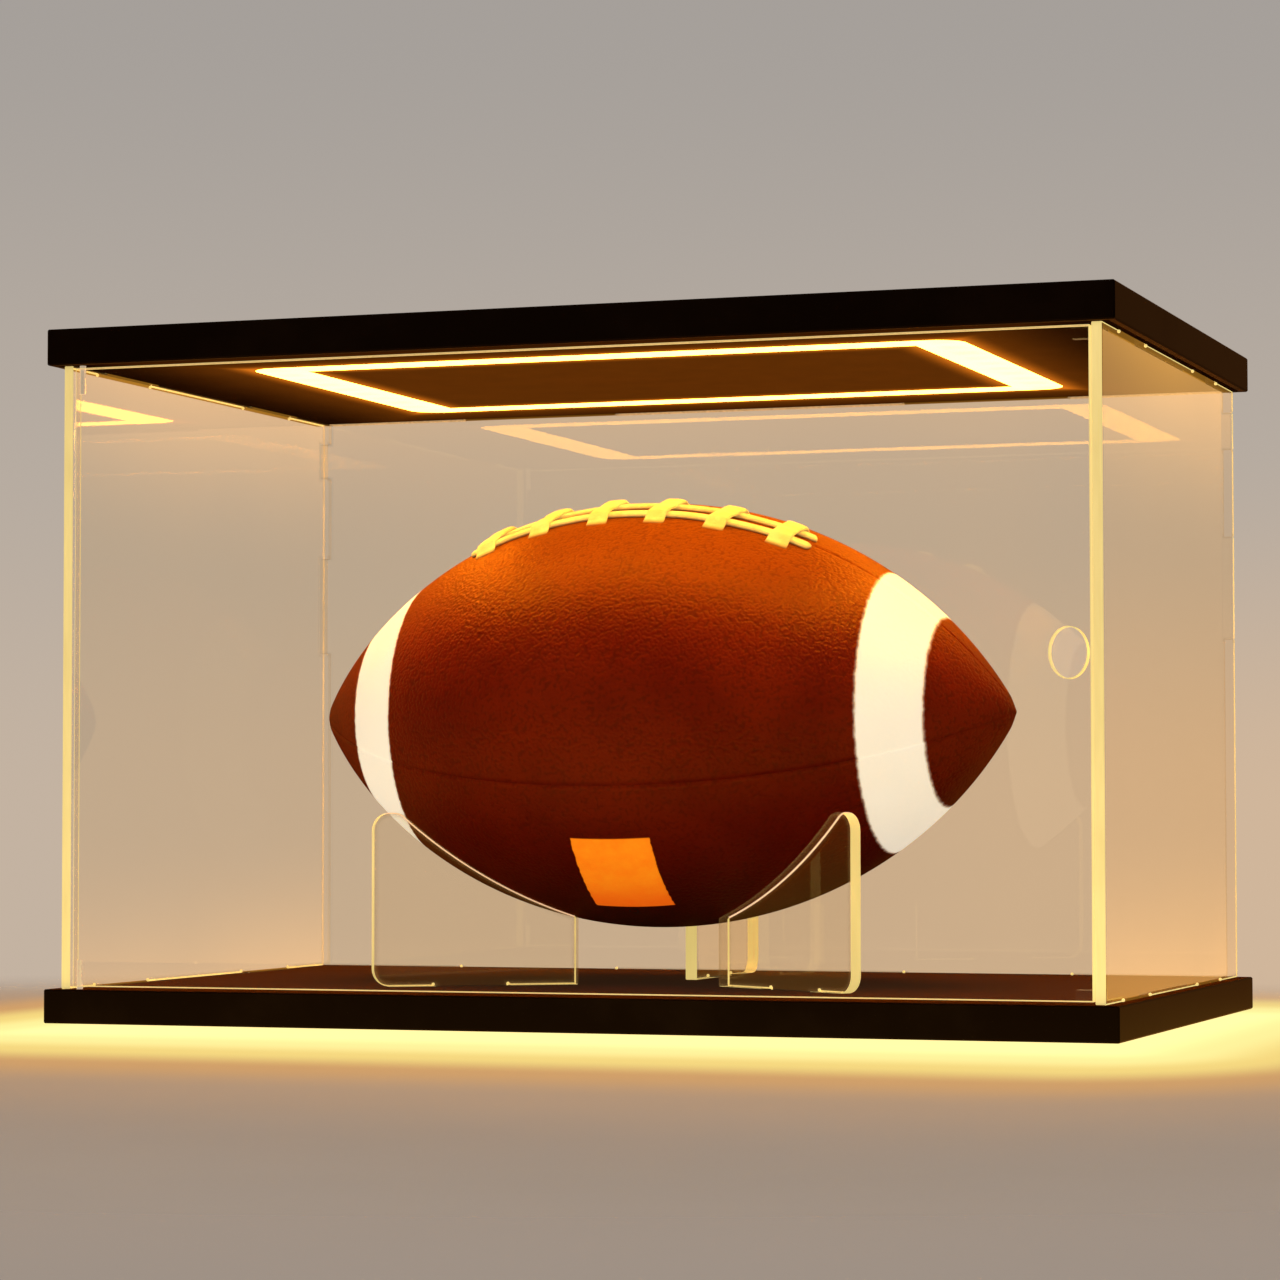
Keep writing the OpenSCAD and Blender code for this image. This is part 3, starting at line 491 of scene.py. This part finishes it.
def lacing(ball):
    """Cream laces: a fine lengthways grain and pale creases, painted shade on their sides low down beside the
    leather, and a faint painted glow on their raised parts.
    """
    material, g = new_material("ball_lacing")
    at = g.place()
    grain = g.noise(at, 1400.0, 3.0, 0.6, stretch=(0.15, 1.0, 1.0))
    cloud = g.noise(at, 120.0, 5.0, 0.6)
    colour = g.mix(g.ramp(cloud, 0.35, 0.65), rgb(0.82, 0.68, 0.27), rgb(0.93, 0.84, 0.44))
    colour = g.mix(g.ramp(grain, 0.25, 0.45, 0.35, 0.0), colour, rgb(0.55, 0.38, 0.12))
    off = [g.math("SUBTRACT", value, middle) for value, middle in zip(g.split(at), ball.centre)]
    square = [g.math("MULTIPLY", value, value) for value in off]
    out = g.math("SQRT", g.math("ADD", square[1], square[2]))
    skin = g.math("SUBTRACT", g.math("SQRT", g.math("SUBTRACT", ball.big ** 2, square[0])), ball.off)
    lift = g.ramp(g.math("SUBTRACT", out, skin), -0.2 * MM, 1.3 * MM)
    # painted shade: darker low down beside the leather
    colour = g.mix(lift, rgb(0.30, 0.10, 0.015), colour)
    # painted glow, fading out low down
    glow = g.math("MULTIPLY", g.ramp(cloud, 0.3, 0.7, 0.18, 0.25), g.math("POWER", lift, 1.5))
    shader = g.add("ShaderNodeBsdfPrincipled", {
        "Base Color": colour, "Roughness": g.ramp(cloud, 0.3, 0.7, 0.48, 0.62),
        "Specular IOR Level": 0.35,
        "Emission Color": rgb(0.90, 0.80, 0.27), "Emission Strength": glow,
        "Normal": g.bump(grain, 0.35, 0.0002),
    })
    g.output(shader.outputs[0])
    return material


def rubber(name, dark, light, scale=900.0):
    """Moulded rubber or plastic: a fine matt grain and slow changes of shade."""
    material, g = new_material(name)
    at = g.place()
    grain = g.noise(at, scale, 4.0, 0.6)
    cloud = g.noise(at, 60.0, 3.0)
    shader = g.add("ShaderNodeBsdfPrincipled", {
        "Base Color": g.mix(cloud, dark, light), "Roughness": g.ramp(grain, 0.2, 0.8, 0.62, 0.85),
        "Specular IOR Level": 0.3, "Normal": g.bump(grain, 0.3, 0.0002),
    })
    g.output(shader.outputs[0])
    return material


def metal(name, colour, dull, stretch, glow=0.0):
    """Brushed metal with drawn lines along one way and stains. glow is a painted glow that stands in for the
    light of the sheet round it.
    """
    material, g = new_material(name)
    at = g.place()
    brush = g.noise(at, 3000.0, 3.0, 0.6, stretch=stretch)
    stain = g.noise(at, 300.0, 4.0, 0.6)
    shader = g.add("ShaderNodeBsdfPrincipled", {
        "Base Color": g.mix(g.ramp(stain, 0.35, 0.7), colour, dull), "Metallic": 1.0,
        "Roughness": g.ramp(brush, 0.2, 0.8, 0.22, 0.42), "Normal": g.bump(brush, 0.2, 0.0001),
        "Emission Color": colour, "Emission Strength": glow,
    })
    g.output(shader.outputs[0])
    return material


def circuit_board():
    """Green solder mask with copper tracks below it and bare tinned pads."""
    material, g = new_material("circuit_board")
    at = g.place()
    tracks = g.add("ShaderNodeTexBrick", {
        "Vector": at, "Scale": 320.0, "Mortar Size": 0.012, "Color1": rgb(0.01, 0.11, 0.035),
        "Color2": rgb(0.012, 0.13, 0.04), "Mortar": rgb(0.03, 0.24, 0.08)}).outputs["Color"]
    pads = g.ramp(g.cells(at, 520.0), 0.16, 0.12)
    colour = g.mix(pads, tracks, rgb(0.62, 0.60, 0.55))
    shader = g.add("ShaderNodeBsdfPrincipled", {
        "Base Color": colour, "Metallic": pads, "Coat Weight": 0.4,
        "Roughness": g.ramp(g.noise(at, 200.0), 0.3, 0.7, 0.25, 0.4), "Normal": g.bump(pads, 0.2, 0.0001),
    })
    g.output(shader.outputs[0])
    return material


def wire_sheath():
    """Soft red insulation with slight changes of shade."""
    material, g = new_material("wire_sheath")
    at = g.place()
    cloud = g.noise(at, 500.0, 4.0)
    shader = g.add("ShaderNodeBsdfPrincipled", {
        "Base Color": g.mix(cloud, rgb(0.42, 0.02, 0.015), rgb(0.55, 0.04, 0.02)),
        "Roughness": g.ramp(cloud, 0.3, 0.7, 0.35, 0.5), "Normal": g.bump(cloud, 0.1, 0.0001),
    })
    g.output(shader.outputs[0])
    return material


# ---------- mesh tools ----------

def new_piece(name, bm, materials, body, nodes, smooth=35.0):
    """Links a finished bmesh as a piece that rides on its body and stands for its CAD nodes. smooth is the
    angle in degrees past which an edge stays sharp."""
    mesh = bpy.data.meshes.new(name)
    for material in materials:
        mesh.materials.append(material)
    for face in bm.faces:
        face.smooth = True
    bm.to_mesh(mesh)
    bm.free()
    mesh.set_sharp_from_angle(angle=math.radians(smooth))
    piece = bpy.data.objects.new(name, mesh)
    bpy.context.scene.collection.objects.link(piece)
    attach(piece, body)
    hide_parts(*nodes)


# Material slots of a sheet: clear faces, edges that carry painted glow (LIT, QUIET, FAINT and LINE), and
# plain clear edges.
CLEAR, LIT, QUIET, FAINT, LINE, PLAIN = range(6)


def polish_sheet(bm, normal, edge_slot, rim, bevel):
    """Splits a sheet into clear faces and cut edges, and polishes its corners. edge_slot(way, at) gives the
    material of an edge or a bevel by the way it faces and its middle."""
    inner = [f for f in bm.faces if abs(f.normal.dot(normal)) > 0.99]
    bmesh.ops.inset_region(bm, faces=inner, thickness=rim, use_even_offset=True, use_boundary=True)
    layer = bm.verts.layers.float.new("rim")
    for vertex in bm.verts:
        vertex[layer] = 1.0
    for face in inner:
        for vertex in face.verts:
            vertex[layer] = 0.0
    bm.normal_update()
    for face in bm.faces:
        face.material_index = CLEAR if abs(face.normal.dot(normal)) > 0.99 else LIT
    sharp = [e for e in bm.edges if len(e.link_faces) == 2 and e.calc_face_angle(0.0) > math.radians(40)]
    bmesh.ops.bevel(bm, geom=sharp, offset=bevel, offset_type="OFFSET", segments=2, profile=0.6,
                    affect="EDGES", clamp_overlap=True, material=LIT)
    bm.normal_update()
    for face in bm.faces:
        if face.material_index == LIT:
            face.material_index = edge_slot(face.normal, face.calc_center_median())


BEAD_RADIUS = 0.65 * MM


def painted_light_beads(bm, spots):
    """Small beads in a face of the sheet, at the inner corners of its tabs, that carry painted spots of
    light.
    """
    for spot in spots:
        place = Matrix.Translation(spot)
        made = bmesh.ops.create_icosphere(bm, subdivisions=2, radius=BEAD_RADIUS, matrix=place)
        for vertex in made["verts"]:
            for face in vertex.link_faces:
                # the beads take the glowing line material: painted spots of light
                face.material_index = LINE


def sheet_from_node(node, normal, materials, edge_slot, rim, bevel, beads=()):
    """The node's own outline and thickness as a polished sheet of the case."""
    bm = bmesh.new()
    bm.from_mesh(NODES[node].data)
    bmesh.ops.remove_doubles(bm, verts=bm.verts, dist=1e-6)
    bmesh.ops.dissolve_limit(bm, angle_limit=math.radians(0.3), verts=bm.verts, edges=bm.edges)
    bm.normal_update()
    polish_sheet(bm, Vector(normal), edge_slot, rim, bevel)
    painted_light_beads(bm, beads)
    new_piece(node + "_sheet", bm, materials, "case", [node], smooth=20.0)


def door_sheet(materials):
    """The door's panel with an oval finger hole."""
    low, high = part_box("door_panel")
    thick = high.y - low.y
    hole_w, hole_h, margin = 13.5 * MM, 18 * MM, 1.65 * MM
    hole_x, hole_z = high.x - margin - hole_w / 2, low.z + 122.5 * MM
    bm = bmesh.new()
    outline = [(low.x, low.z), (high.x, low.z), (high.x, high.z), (low.x, high.z)]
    turns = [2 * math.pi * i / 72 for i in range(72)]
    oval = [(hole_x + hole_w / 2 * math.cos(t), hole_z + hole_h / 2 * math.sin(t)) for t in turns]
    edges = []
    for loop in (outline, oval):
        ring = [bm.verts.new((x, low.y, z)) for x, z in loop]
        edges += [bm.edges.new((ring[i], ring[(i + 1) % len(ring)])) for i in range(len(ring))]
    bmesh.ops.triangle_fill(bm, use_beauty=True, edges=edges)
    made = bmesh.ops.extrude_face_region(bm, geom=list(bm.faces))
    moved = [v for v in made["geom"] if isinstance(v, bmesh.types.BMVert)]
    bmesh.ops.translate(bm, verts=moved, vec=(0, thick, 0))
    bmesh.ops.recalc_face_normals(bm, faces=bm.faces)

    def edge_slot(way, at):
        if abs(way.z) > 0.3 and at.x < 0.9 * high.x:
            return FAINT
        return QUIET if way.x < -0.3 and at.x < 0 else LIT

    polish_sheet(bm, Vector((0, 1, 0)), edge_slot, rim=0.6 * MM, bevel=0.3 * MM)
    new_piece("door_sheet", bm, materials, "door", ["door_panel"], smooth=20.0)


def lathe(name, profile, place, axis_matrix, materials, body, nodes, steps=64):
    """A turned piece: profile is (radius, height) from the middle of one end to the middle of the other."""
    bm = bmesh.new()
    rings = []
    for radius, height in profile:
        if radius < 1e-7:
            rings.append([bm.verts.new((0, 0, height))])
        else:
            turns = [2 * math.pi * i / steps for i in range(steps)]
            rings.append([bm.verts.new((radius * math.cos(t), radius * math.sin(t), height)) for t in turns])
    for a, b in zip(rings, rings[1:]):
        for i in range(steps):
            j = (i + 1) % steps
            corner = [a[i % len(a)], a[j % len(a)], b[j % len(b)], b[i % len(b)]]
            unique = list(dict.fromkeys(corner))
            if len(unique) > 2:
                bm.faces.new(unique)
    bmesh.ops.recalc_face_normals(bm, faces=bm.faces)
    bmesh.ops.transform(bm, matrix=Matrix.Translation(place) @ axis_matrix.to_4x4(), verts=bm.verts)
    new_piece(name, bm, materials, body, nodes)


# ---------- football ----------

class Ball:
    """The football's surface: an arc turned about the long axis, which is X, sized by the CAD panels."""

    def __init__(self):
        boxes = [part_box("football_panel_" + side) for side in ("front", "bottom", "rear", "top")]
        low = Vector([min(b[0][i] for b in boxes) for i in range(3)])
        high = Vector([max(b[1][i] for b in boxes) for i in range(3)])
        tip_cut, tip_round = 1.5 * MM, 3 * MM
        self.centre = (low + high) / 2
        self.half = (high.x - low.x) / 2
        self.b = (high.z - low.z) / 2
        a = self.half + tip_cut
        self.big = (a * a + self.b * self.b) / (2 * self.b)
        self.off = self.big - self.b
        self.round_from = self.half - tip_round
        self.tip = self.half + 0.3 * MM

    def radius(self, x):
        """Radius at an axial distance x, with the tips rounded over."""
        r = math.sqrt(self.big ** 2 - x * x) - self.off
        past = (abs(x) - self.round_from) / (self.tip - self.round_from)
        return r * math.sqrt(max(0.0, 1 - past * past)) if past > 0 else r

    def point(self, x, turn, lift=0.0):
        """The point at axial distance x and turn (degrees from the top forwards), lifted off the surface."""
        r = math.sqrt(self.big ** 2 - x * x) - self.off if lift else self.radius(x)
        slope = x / self.big
        out = math.sqrt(1 - slope * slope)
        a = math.radians(turn)
        radial = Vector((0, -math.sin(a), math.cos(a)))
        return self.centre + Vector((x + lift * slope, 0, 0)) + radial * (r + lift * out)


LACE_TURN = 20.0
LACE_PITCH = 24 * MM
VALVE_TURN = 156.0


def leather_panel(ball, side, start, material):
    """A quarter of the cover. It rolls in at its seams, so that two panels meet in a groove."""
    across, along = 56, 260
    groove_w, groove_d = 1.1 * MM, 0.55 * MM
    bm = bmesh.new()
    rows = []
    for i in range(along + 1):
        x = -ball.tip * math.cos(math.pi * i / along)
        r = ball.radius(x)
        row = []
        arc = max(r, 1e-6) * math.pi / 2
        for j in range(across + 1):
            share = 0.5 - 0.5 * math.cos(math.pi * j / across)
            share = 0.55 * share + 0.45 * (j / across)
            edge = min(share, 1 - share) * arc
            dip = max(0.0, 1 - edge / groove_w) ** 1.6 * groove_d * min(1.0, r / (9 * MM))
            a = math.radians(start + 90 * share)
            radial = Vector((0, -math.sin(a), math.cos(a)))
            row.append(bm.verts.new(ball.centre + Vector((x, 0, 0)) + radial * max(r - dip, 0.0)))
        rows.append(row)
    for a, b in zip(rows, rows[1:]):
        for j in range(across):
            bm.faces.new((a[j], a[j + 1], b[j + 1], b[j]))
    bmesh.ops.remove_doubles(bm, verts=bm.verts, dist=1e-6)
    bmesh.ops.recalc_face_normals(bm, faces=bm.faces)
    middle = math.radians(start + 45)
    outward = Vector((0, -math.sin(middle), math.cos(middle)))
    best = max(bm.faces, key=lambda f: (f.calc_center_median() - ball.centre).dot(outward))
    if best.normal.dot(outward) < 0:
        bmesh.ops.reverse_faces(bm, faces=bm.faces)
    node = "football_panel_" + side
    new_piece("leather_" + side, bm, [material], "football", [node], smooth=60.0)


def strap(name, rings, material, nodes):
    """A closed strap through rings of points, all of one count, with both ends capped."""
    bm = bmesh.new()
    made = [[bm.verts.new(p) for p in ring] for ring in rings]
    for a, b in zip(made, made[1:]):
        for i in range(len(a)):
            j = (i + 1) % len(a)
            bm.faces.new((a[i], a[j], b[j], b[i]))
    bm.faces.new(made[0])
    bm.faces.new(list(reversed(made[-1])))
    bmesh.ops.recalc_face_normals(bm, faces=bm.faces)
    new_piece(name, bm, [material], "football", nodes, smooth=60.0)


def rounded_section(half_w, thick, count=20, power=3.2):
    """Points (across, up) round a strap's rounded-box section that stands on up = 0."""
    points = []
    for k in range(count):
        t = 2 * math.pi * k / count
        c, s = math.cos(t), math.sin(t)
        across = half_w * math.copysign(abs(c) ** (2 / power), c)
        up = thick / 2 * (1 + math.copysign(abs(s) ** (2 / power), s))
        points.append((across, up))
    return points


def long_lace(ball, index, sign, material):
    """One of the two long strands beside the laced seam, its ends rounded and tucked down."""
    half_w, thick, half_len = 2.1 * MM, 2.2 * MM, 70 * MM
    half_gap, sunk = 3.0 * MM, 0.25 * MM
    offset = half_gap + half_w
    rings = []
    steps = 120
    for i in range(steps + 1):
        x = half_len * -math.cos(math.pi * i / steps)
        to_end = half_len - abs(x)
        taper = math.sqrt(max(0.0, 1 - max(0.0, 1 - to_end / half_w) ** 2))
        sway = 0.18 * MM * math.sin(x * 170 + sign)
        ring = []
        for across, up in rounded_section(half_w * max(taper, 0.06), thick * (0.35 + 0.65 * taper)):
            y = sign * offset * (1 - 0.30 * (1 - taper)) + sway + across
            turn = LACE_TURN + math.degrees(y / (ball.radius(x) + up))
            ring.append(ball.point(x, turn, up - sunk))
        rings.append(ring)
    strap("long_lace_" + index, rings, material, ["football_long_laces"])


def cross_lace(ball, number, x0, material):
    """One slanted strap over both strands. Its ends widen a little and go down into the leather."""
    reach, crest, thick = 12.5 * MM, 2.35 * MM, 1.7 * MM
    shoulder, tuck = 7.4 * MM, 1.2 * MM
    sunk, tuck_depth = 0.35 * MM, 0.9 * MM
    sag, sag_reach = 0.35 * MM, 1.6 * MM
    slant = 0.5 * MM * math.sin(number * 2.4) - 2.2 * MM
    rings = []
    steps = 44
    for i in range(steps + 1):
        y = -reach + 2 * reach * i / steps
        far = abs(y)
        down = min(1.0, max(0.0, (far - shoulder) / (reach - tuck - shoulder)))
        base = crest * (1 - down * down * (3 - 2 * down)) - sunk
        base -= tuck_depth * max(0.0, (far - reach + tuck) / tuck)
        dip = sag * math.exp(-(y / sag_reach) ** 2)
        half_w = 3.6 * MM * (1 + 0.20 * (far / reach) ** 2)
        turn_lift = max(base, 0.0)
        ring = []
        for across, up in rounded_section(half_w, thick * (1 - 0.25 * down)):
            x = x0 + across + slant * y / reach
            turn = LACE_TURN + math.degrees(y / (ball.radius(x) + turn_lift))
            ring.append(ball.point(x, turn, base - dip + up))
        rings.append(ring)
    strap("cross_lace_" + str(number), rings, material, ["football_cross_laces"])


def make_football():
    """Four leather panels, the two long laces, six cross laces and the valve."""
    ball = Ball()
    leather, lace = pebbled_leather(ball.centre), lacing(ball)
    for side, quarter in (("front", 0), ("bottom", 1), ("rear", 2), ("top", 3)):
        leather_panel(ball, side, LACE_TURN + 90 * quarter, leather)
    for index, sign in (("front", 1), ("rear", -1)):
        long_lace(ball, index, sign, lace)
    for number in range(6):
        cross_lace(ball, number + 1, (number - 2.5) * LACE_PITCH, lace)
    valve(ball)


def valve(ball):
    """The air valve, a rubber grommet with a needle bore, low on the front of the ball."""
    a = math.radians(VALVE_TURN)
    outward = Vector((0, -math.sin(a), math.cos(a)))
    turn = outward.to_track_quat("Z", "Y").to_matrix()
    bore, rim, outer = 0.8 * MM, 2.2 * MM, 3.5 * MM
    profile = [
        (0.0, -2.4 * MM), (bore, -2.3 * MM), (bore, -0.5 * MM), (1.2 * MM, -0.1 * MM), (1.7 * MM, 0.05 * MM),
        (rim, -0.15 * MM), (2.5 * MM, -0.5 * MM), (2.8 * MM, -0.5 * MM), (3.1 * MM, -0.05 * MM),
        (outer, -0.1 * MM), (3.55 * MM, -0.6 * MM), (3.3 * MM, -2.8 * MM), (0.0, -2.8 * MM),
    ]
    soft = rubber("ball_rubber", rgb(0.012, 0.009, 0.008), rgb(0.022, 0.017, 0.014))
    place = ball.centre + outward * ball.b
    lathe("valve_grommet", profile, place, turn, [soft], "football", ["football_valve"])


# ---------- the case ----------

SHEET = 4 * MM
SIDE_TAB_ENDS = [-95 * MM, -49 * MM, 38.5 * MM, 85.5 * MM]
BACK_TAB_ENDS = [-136 * MM, -64 * MM, 64 * MM, 136 * MM]
CRADLE_TAB_ENDS = [27.5 * MM, 57.5 * MM]
BEAD_RISE, BACK_BEAD_RISE = 0.6 * MM, 0.5 * MM


def make_walls(base_top, lid_under):
    """The fixed walls and the door. The light shows as painted glow in their front edges, at the slabs and in
    the corners.
    """
    faces = clear_acrylic("side_acrylic", 0.006, 0.40, 0.012, top=0.42, bottom=0.32)
    back_faces = clear_acrylic("back_acrylic", 0.006, 0.30, 0.028, top=0.35)
    edge = glowing_edge("acrylic_edge", 0.66)
    quiet = quiet_edge("quiet_edge", 0.12, 0.14, (1.0, 0.60, 0.22))
    faint = quiet_edge("faint_edge", 0.55, 0.60, (1.0, 0.66, 0.32))
    line = glowing_edge("acrylic_line", 0.85)
    plain = clear_acrylic("plain_acrylic", 0.004, 0.0, 0.0)
    sheets = [faces, edge, quiet, faint, line, plain]
    near = bevel = 0.6 * MM
    corner = SHEET + 0.5 * MM
    for side, sign in (("left", -1), ("right", 1)):
        low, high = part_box(side + "_wall")
        outer = high.x if sign > 0 else low.x

        def edge_slot(way, at, sign=sign, outer=outer, rear=high.y):
            if way.y < -0.3:
                return LIT
            at_slab = min(abs(at.z - base_top), abs(at.z - lid_under)) < near
            at_outside = abs(at.x - outer) < near
            if at_outside and rear - at.y < near:
                return LINE if sign > 0 else FAINT
            if rear - at.y < corner and abs(way.z) < 0.3:
                return PLAIN
            return LINE if at_outside and at_slab else QUIET

        heights = (base_top + BEAD_RISE, lid_under - BEAD_RISE)
        beads = [Vector((outer, y, z)) for y in SIDE_TAB_ENDS for z in heights]
        sheet_from_node(side + "_wall", (1, 0, 0), sheets, edge_slot, 2.2 * MM, bevel, beads)
    low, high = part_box("back_wall")

    def back_slot(way, at):
        to_end = min(at.x - low.x, high.x - at.x)
        if high.y - at.y < near and to_end < near:
            return LINE if at.x > 0 else FAINT
        if to_end < corner and abs(way.z) < 0.3:
            return PLAIN
        return FAINT if abs(at.z - lid_under) < near else QUIET

    beads = [Vector((x, low.y, base_top + BACK_BEAD_RISE)) for x in BACK_TAB_ENDS]
    sheet_from_node("back_wall", (0, 1, 0), [back_faces] + sheets[1:], back_slot, 1.2 * MM, bevel, beads)
    door_faces = clear_acrylic("door_acrylic", 0.004, 0.20, 0.0)
    sheet_from_node("door_stops", (0, 1, 0), [plain], lambda way, at: CLEAR, 0.8 * MM, 0.3 * MM)
    # the door's top and bottom edges carry a faint pinkish painted glow
    door_edge_glow = quiet_edge("door_painted_edge_glow", 0.75, 0.42, (1.0, 0.60, 0.34))
    door_sheet([door_faces, edge, quiet, door_edge_glow])


# Each cradle plate's name, the way it points in degrees, and the distance of its inner end in millimetres.
CRADLE_PLATES = (("left", 215, 37), ("right", -35, 37), ("rear", 90, 29.3))


def make_cradle(base_top):
    """The cradle plates: painted glow on bright outer ends and feet, and a thin pale painted highlight along
    the dished edge.
    """
    faces = clear_acrylic("cradle_acrylic", 0.010, 0.34, 0.010, bottom=0.05)
    edge = glowing_edge("cradle_edge", 0.70)
    quiet = quiet_edge("cradle_quiet_edge", 0.12, 0.14, (1.0, 0.60, 0.22))
    # painted highlight along the dished edge
    pale = glowing_edge("cradle_dish_painted_highlight", 0.85, (1.0, 0.66, 0.46))
    line = glowing_edge("cradle_line", 1.0)
    for side, angle, start in CRADLE_PLATES:
        a = math.radians(angle)
        along, normal = Vector((math.cos(a), math.sin(a), 0)), Vector((-math.sin(a), math.cos(a), 0))
        far = normal if normal.y > 0 else -normal

        def edge_slot(way, at, along=along, far=far):
            if way.dot(along) > 0.3 or way.z < -0.3:
                return LIT
            if side == "rear":
                return LIT if way.dot(along) < -0.3 and way.z < 0.3 else QUIET
            if way.dot(far) > 0.2:
                return FAINT if way.z > 0.2 else LIT
            return QUIET

        foot = 2 * MM * far + Vector((0, 0, base_top + BEAD_RISE))
        beads = [along * (start * MM + t) + foot for t in CRADLE_TAB_ENDS]
        sheets = [faces, edge, quiet, pale, line]
        sheet_from_node("cradle_plate_" + side, normal, sheets, edge_slot, 2.8 * MM, 0.5 * MM, beads)


def make_case():
    """The clear sheets between the two slabs."""
    base_top, lid_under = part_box("base_shell")[1].z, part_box("lid_shell")[0].z
    make_walls(base_top, lid_under)
    make_cradle(base_top)


def make_turned_pieces():
    """Feet and push buttons, with their rounded edges and rings."""
    foot_rubber = rubber("foot_rubber", rgb(0.018, 0.017, 0.016), rgb(0.03, 0.028, 0.026))
    for spot in ("front_left", "front_right", "rear_left", "rear_right"):
        low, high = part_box("foot_" + spot)
        r, h = (high.x - low.x) / 2, high.z - low.z
        profile = [(0.0, 0.25 * MM), (r * 0.35, 0.25 * MM), (r * 0.42, 0.0), (r * 0.78, 0.0),
                   (r * 0.9, 0.12 * MM), (r * 0.97, 0.45 * MM), (r, 1.0 * MM), (r, h - 0.4 * MM),
                   (r * 0.985, h - 0.1 * MM), (r * 0.95, h), (0.0, h)]
        place = Vector(((low.x + high.x) / 2, (low.y + high.y) / 2, low.z))
        lathe("rubber_foot_" + spot, profile, place, Matrix.Identity(3), [foot_rubber], "case",
              ["foot_" + spot])
    plastic = rubber("button_plastic", rgb(0.03, 0.03, 0.03), rgb(0.045, 0.044, 0.042), 1600.0)
    inward = Matrix.Rotation(math.radians(90), 3, "X")
    for part in ("base", "lid"):
        low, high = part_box(part + "_switch_button")
        r, length = (high.x - low.x) / 2, high.y - low.y
        stem, cap = 1.0 * MM, 1.8 * MM
        profile = [(0.0, 0.30 * MM), (r * 0.4, 0.24 * MM), (r * 0.7, 0.08 * MM), (r * 0.82, 0.0),
                   (r * 0.92, 0.04 * MM), (r, 0.3 * MM), (r, cap - 0.1 * MM), (r * 0.95, cap), (stem, cap),
                   (stem, length - 0.2 * MM), (stem * 0.8, length), (0.0, length)]
        place = Vector(((low.x + high.x) / 2, high.y, (low.z + high.z) / 2))
        lathe(part + "_push_button", profile, place, inward, [plastic], part + "_button",
              [part + "_switch_button"])


def dress_cad_nodes():
    """Gives each CAD node that still shows its material."""
    slab, underside = black_acrylic(), lid_underside()
    cover = rubber("black_cover", rgb(0.010, 0.009, 0.008), rgb(0.016, 0.014, 0.012), 700.0)
    ring = lit_diffuser("ring_diffuser", 18 * MM, 14.0, (1.0, 0.50, 0.055))
    under = lit_diffuser("under_diffuser", 22 * MM, 5.0, (1.0, 0.55, 0.12))
    strip = lit_diffuser("led_strip", 18 * MM, 2.0, (1.0, 0.72, 0.35))
    steel = metal("screw_steel", rgb(0.55, 0.55, 0.56), rgb(0.40, 0.39, 0.38), (1, 1, 0.1))
    socket = metal("socket_metal", rgb(0.62, 0.62, 0.63), rgb(0.45, 0.44, 0.43), (0.1, 1, 1))
    # the pivot pins glow with painted light, warm like the sheet round them
    pins = metal("pin_steel", rgb(0.90, 0.72, 0.50), rgb(0.78, 0.62, 0.42), (1, 1, 0.05), 0.5)
    housing = rubber("switch_plastic", rgb(0.02, 0.02, 0.02), rgb(0.032, 0.031, 0.03), 1200.0)
    bladder = rubber("bladder_rubber", rgb(0.015, 0.013, 0.012), rgb(0.024, 0.02, 0.018))
    board, wires = circuit_board(), wire_sheath()
    looks = {
        "base_shell": slab, "lid_shell": slab, "lid_underside_plate": underside, "base_bottom_plate": cover,
        "base_cover_screws": steel, "light_ring_diffuser": ring, "under_light_diffuser": under,
        "light_ring_strip": strip, "under_light_strip": strip, "door_pivot_pins": pins,
        "base_power_inlet": socket, "lid_power_inlet": socket, "base_switch_body": housing,
        "lid_switch_body": housing, "base_driver_board": board, "lid_driver_board": board,
        "base_light_wires": wires, "lid_light_wires": wires, "football_bladder": bladder,
    }
    for node, material in looks.items():
        NODES[node].data.materials.clear()
        NODES[node].data.materials.append(material)


# ---------- build ----------

bpy.context.scene.view_settings.view_transform = "Standard"
make_camera()
make_studio()
make_case()
make_football()
make_turned_pieces()
dress_cad_nodes()
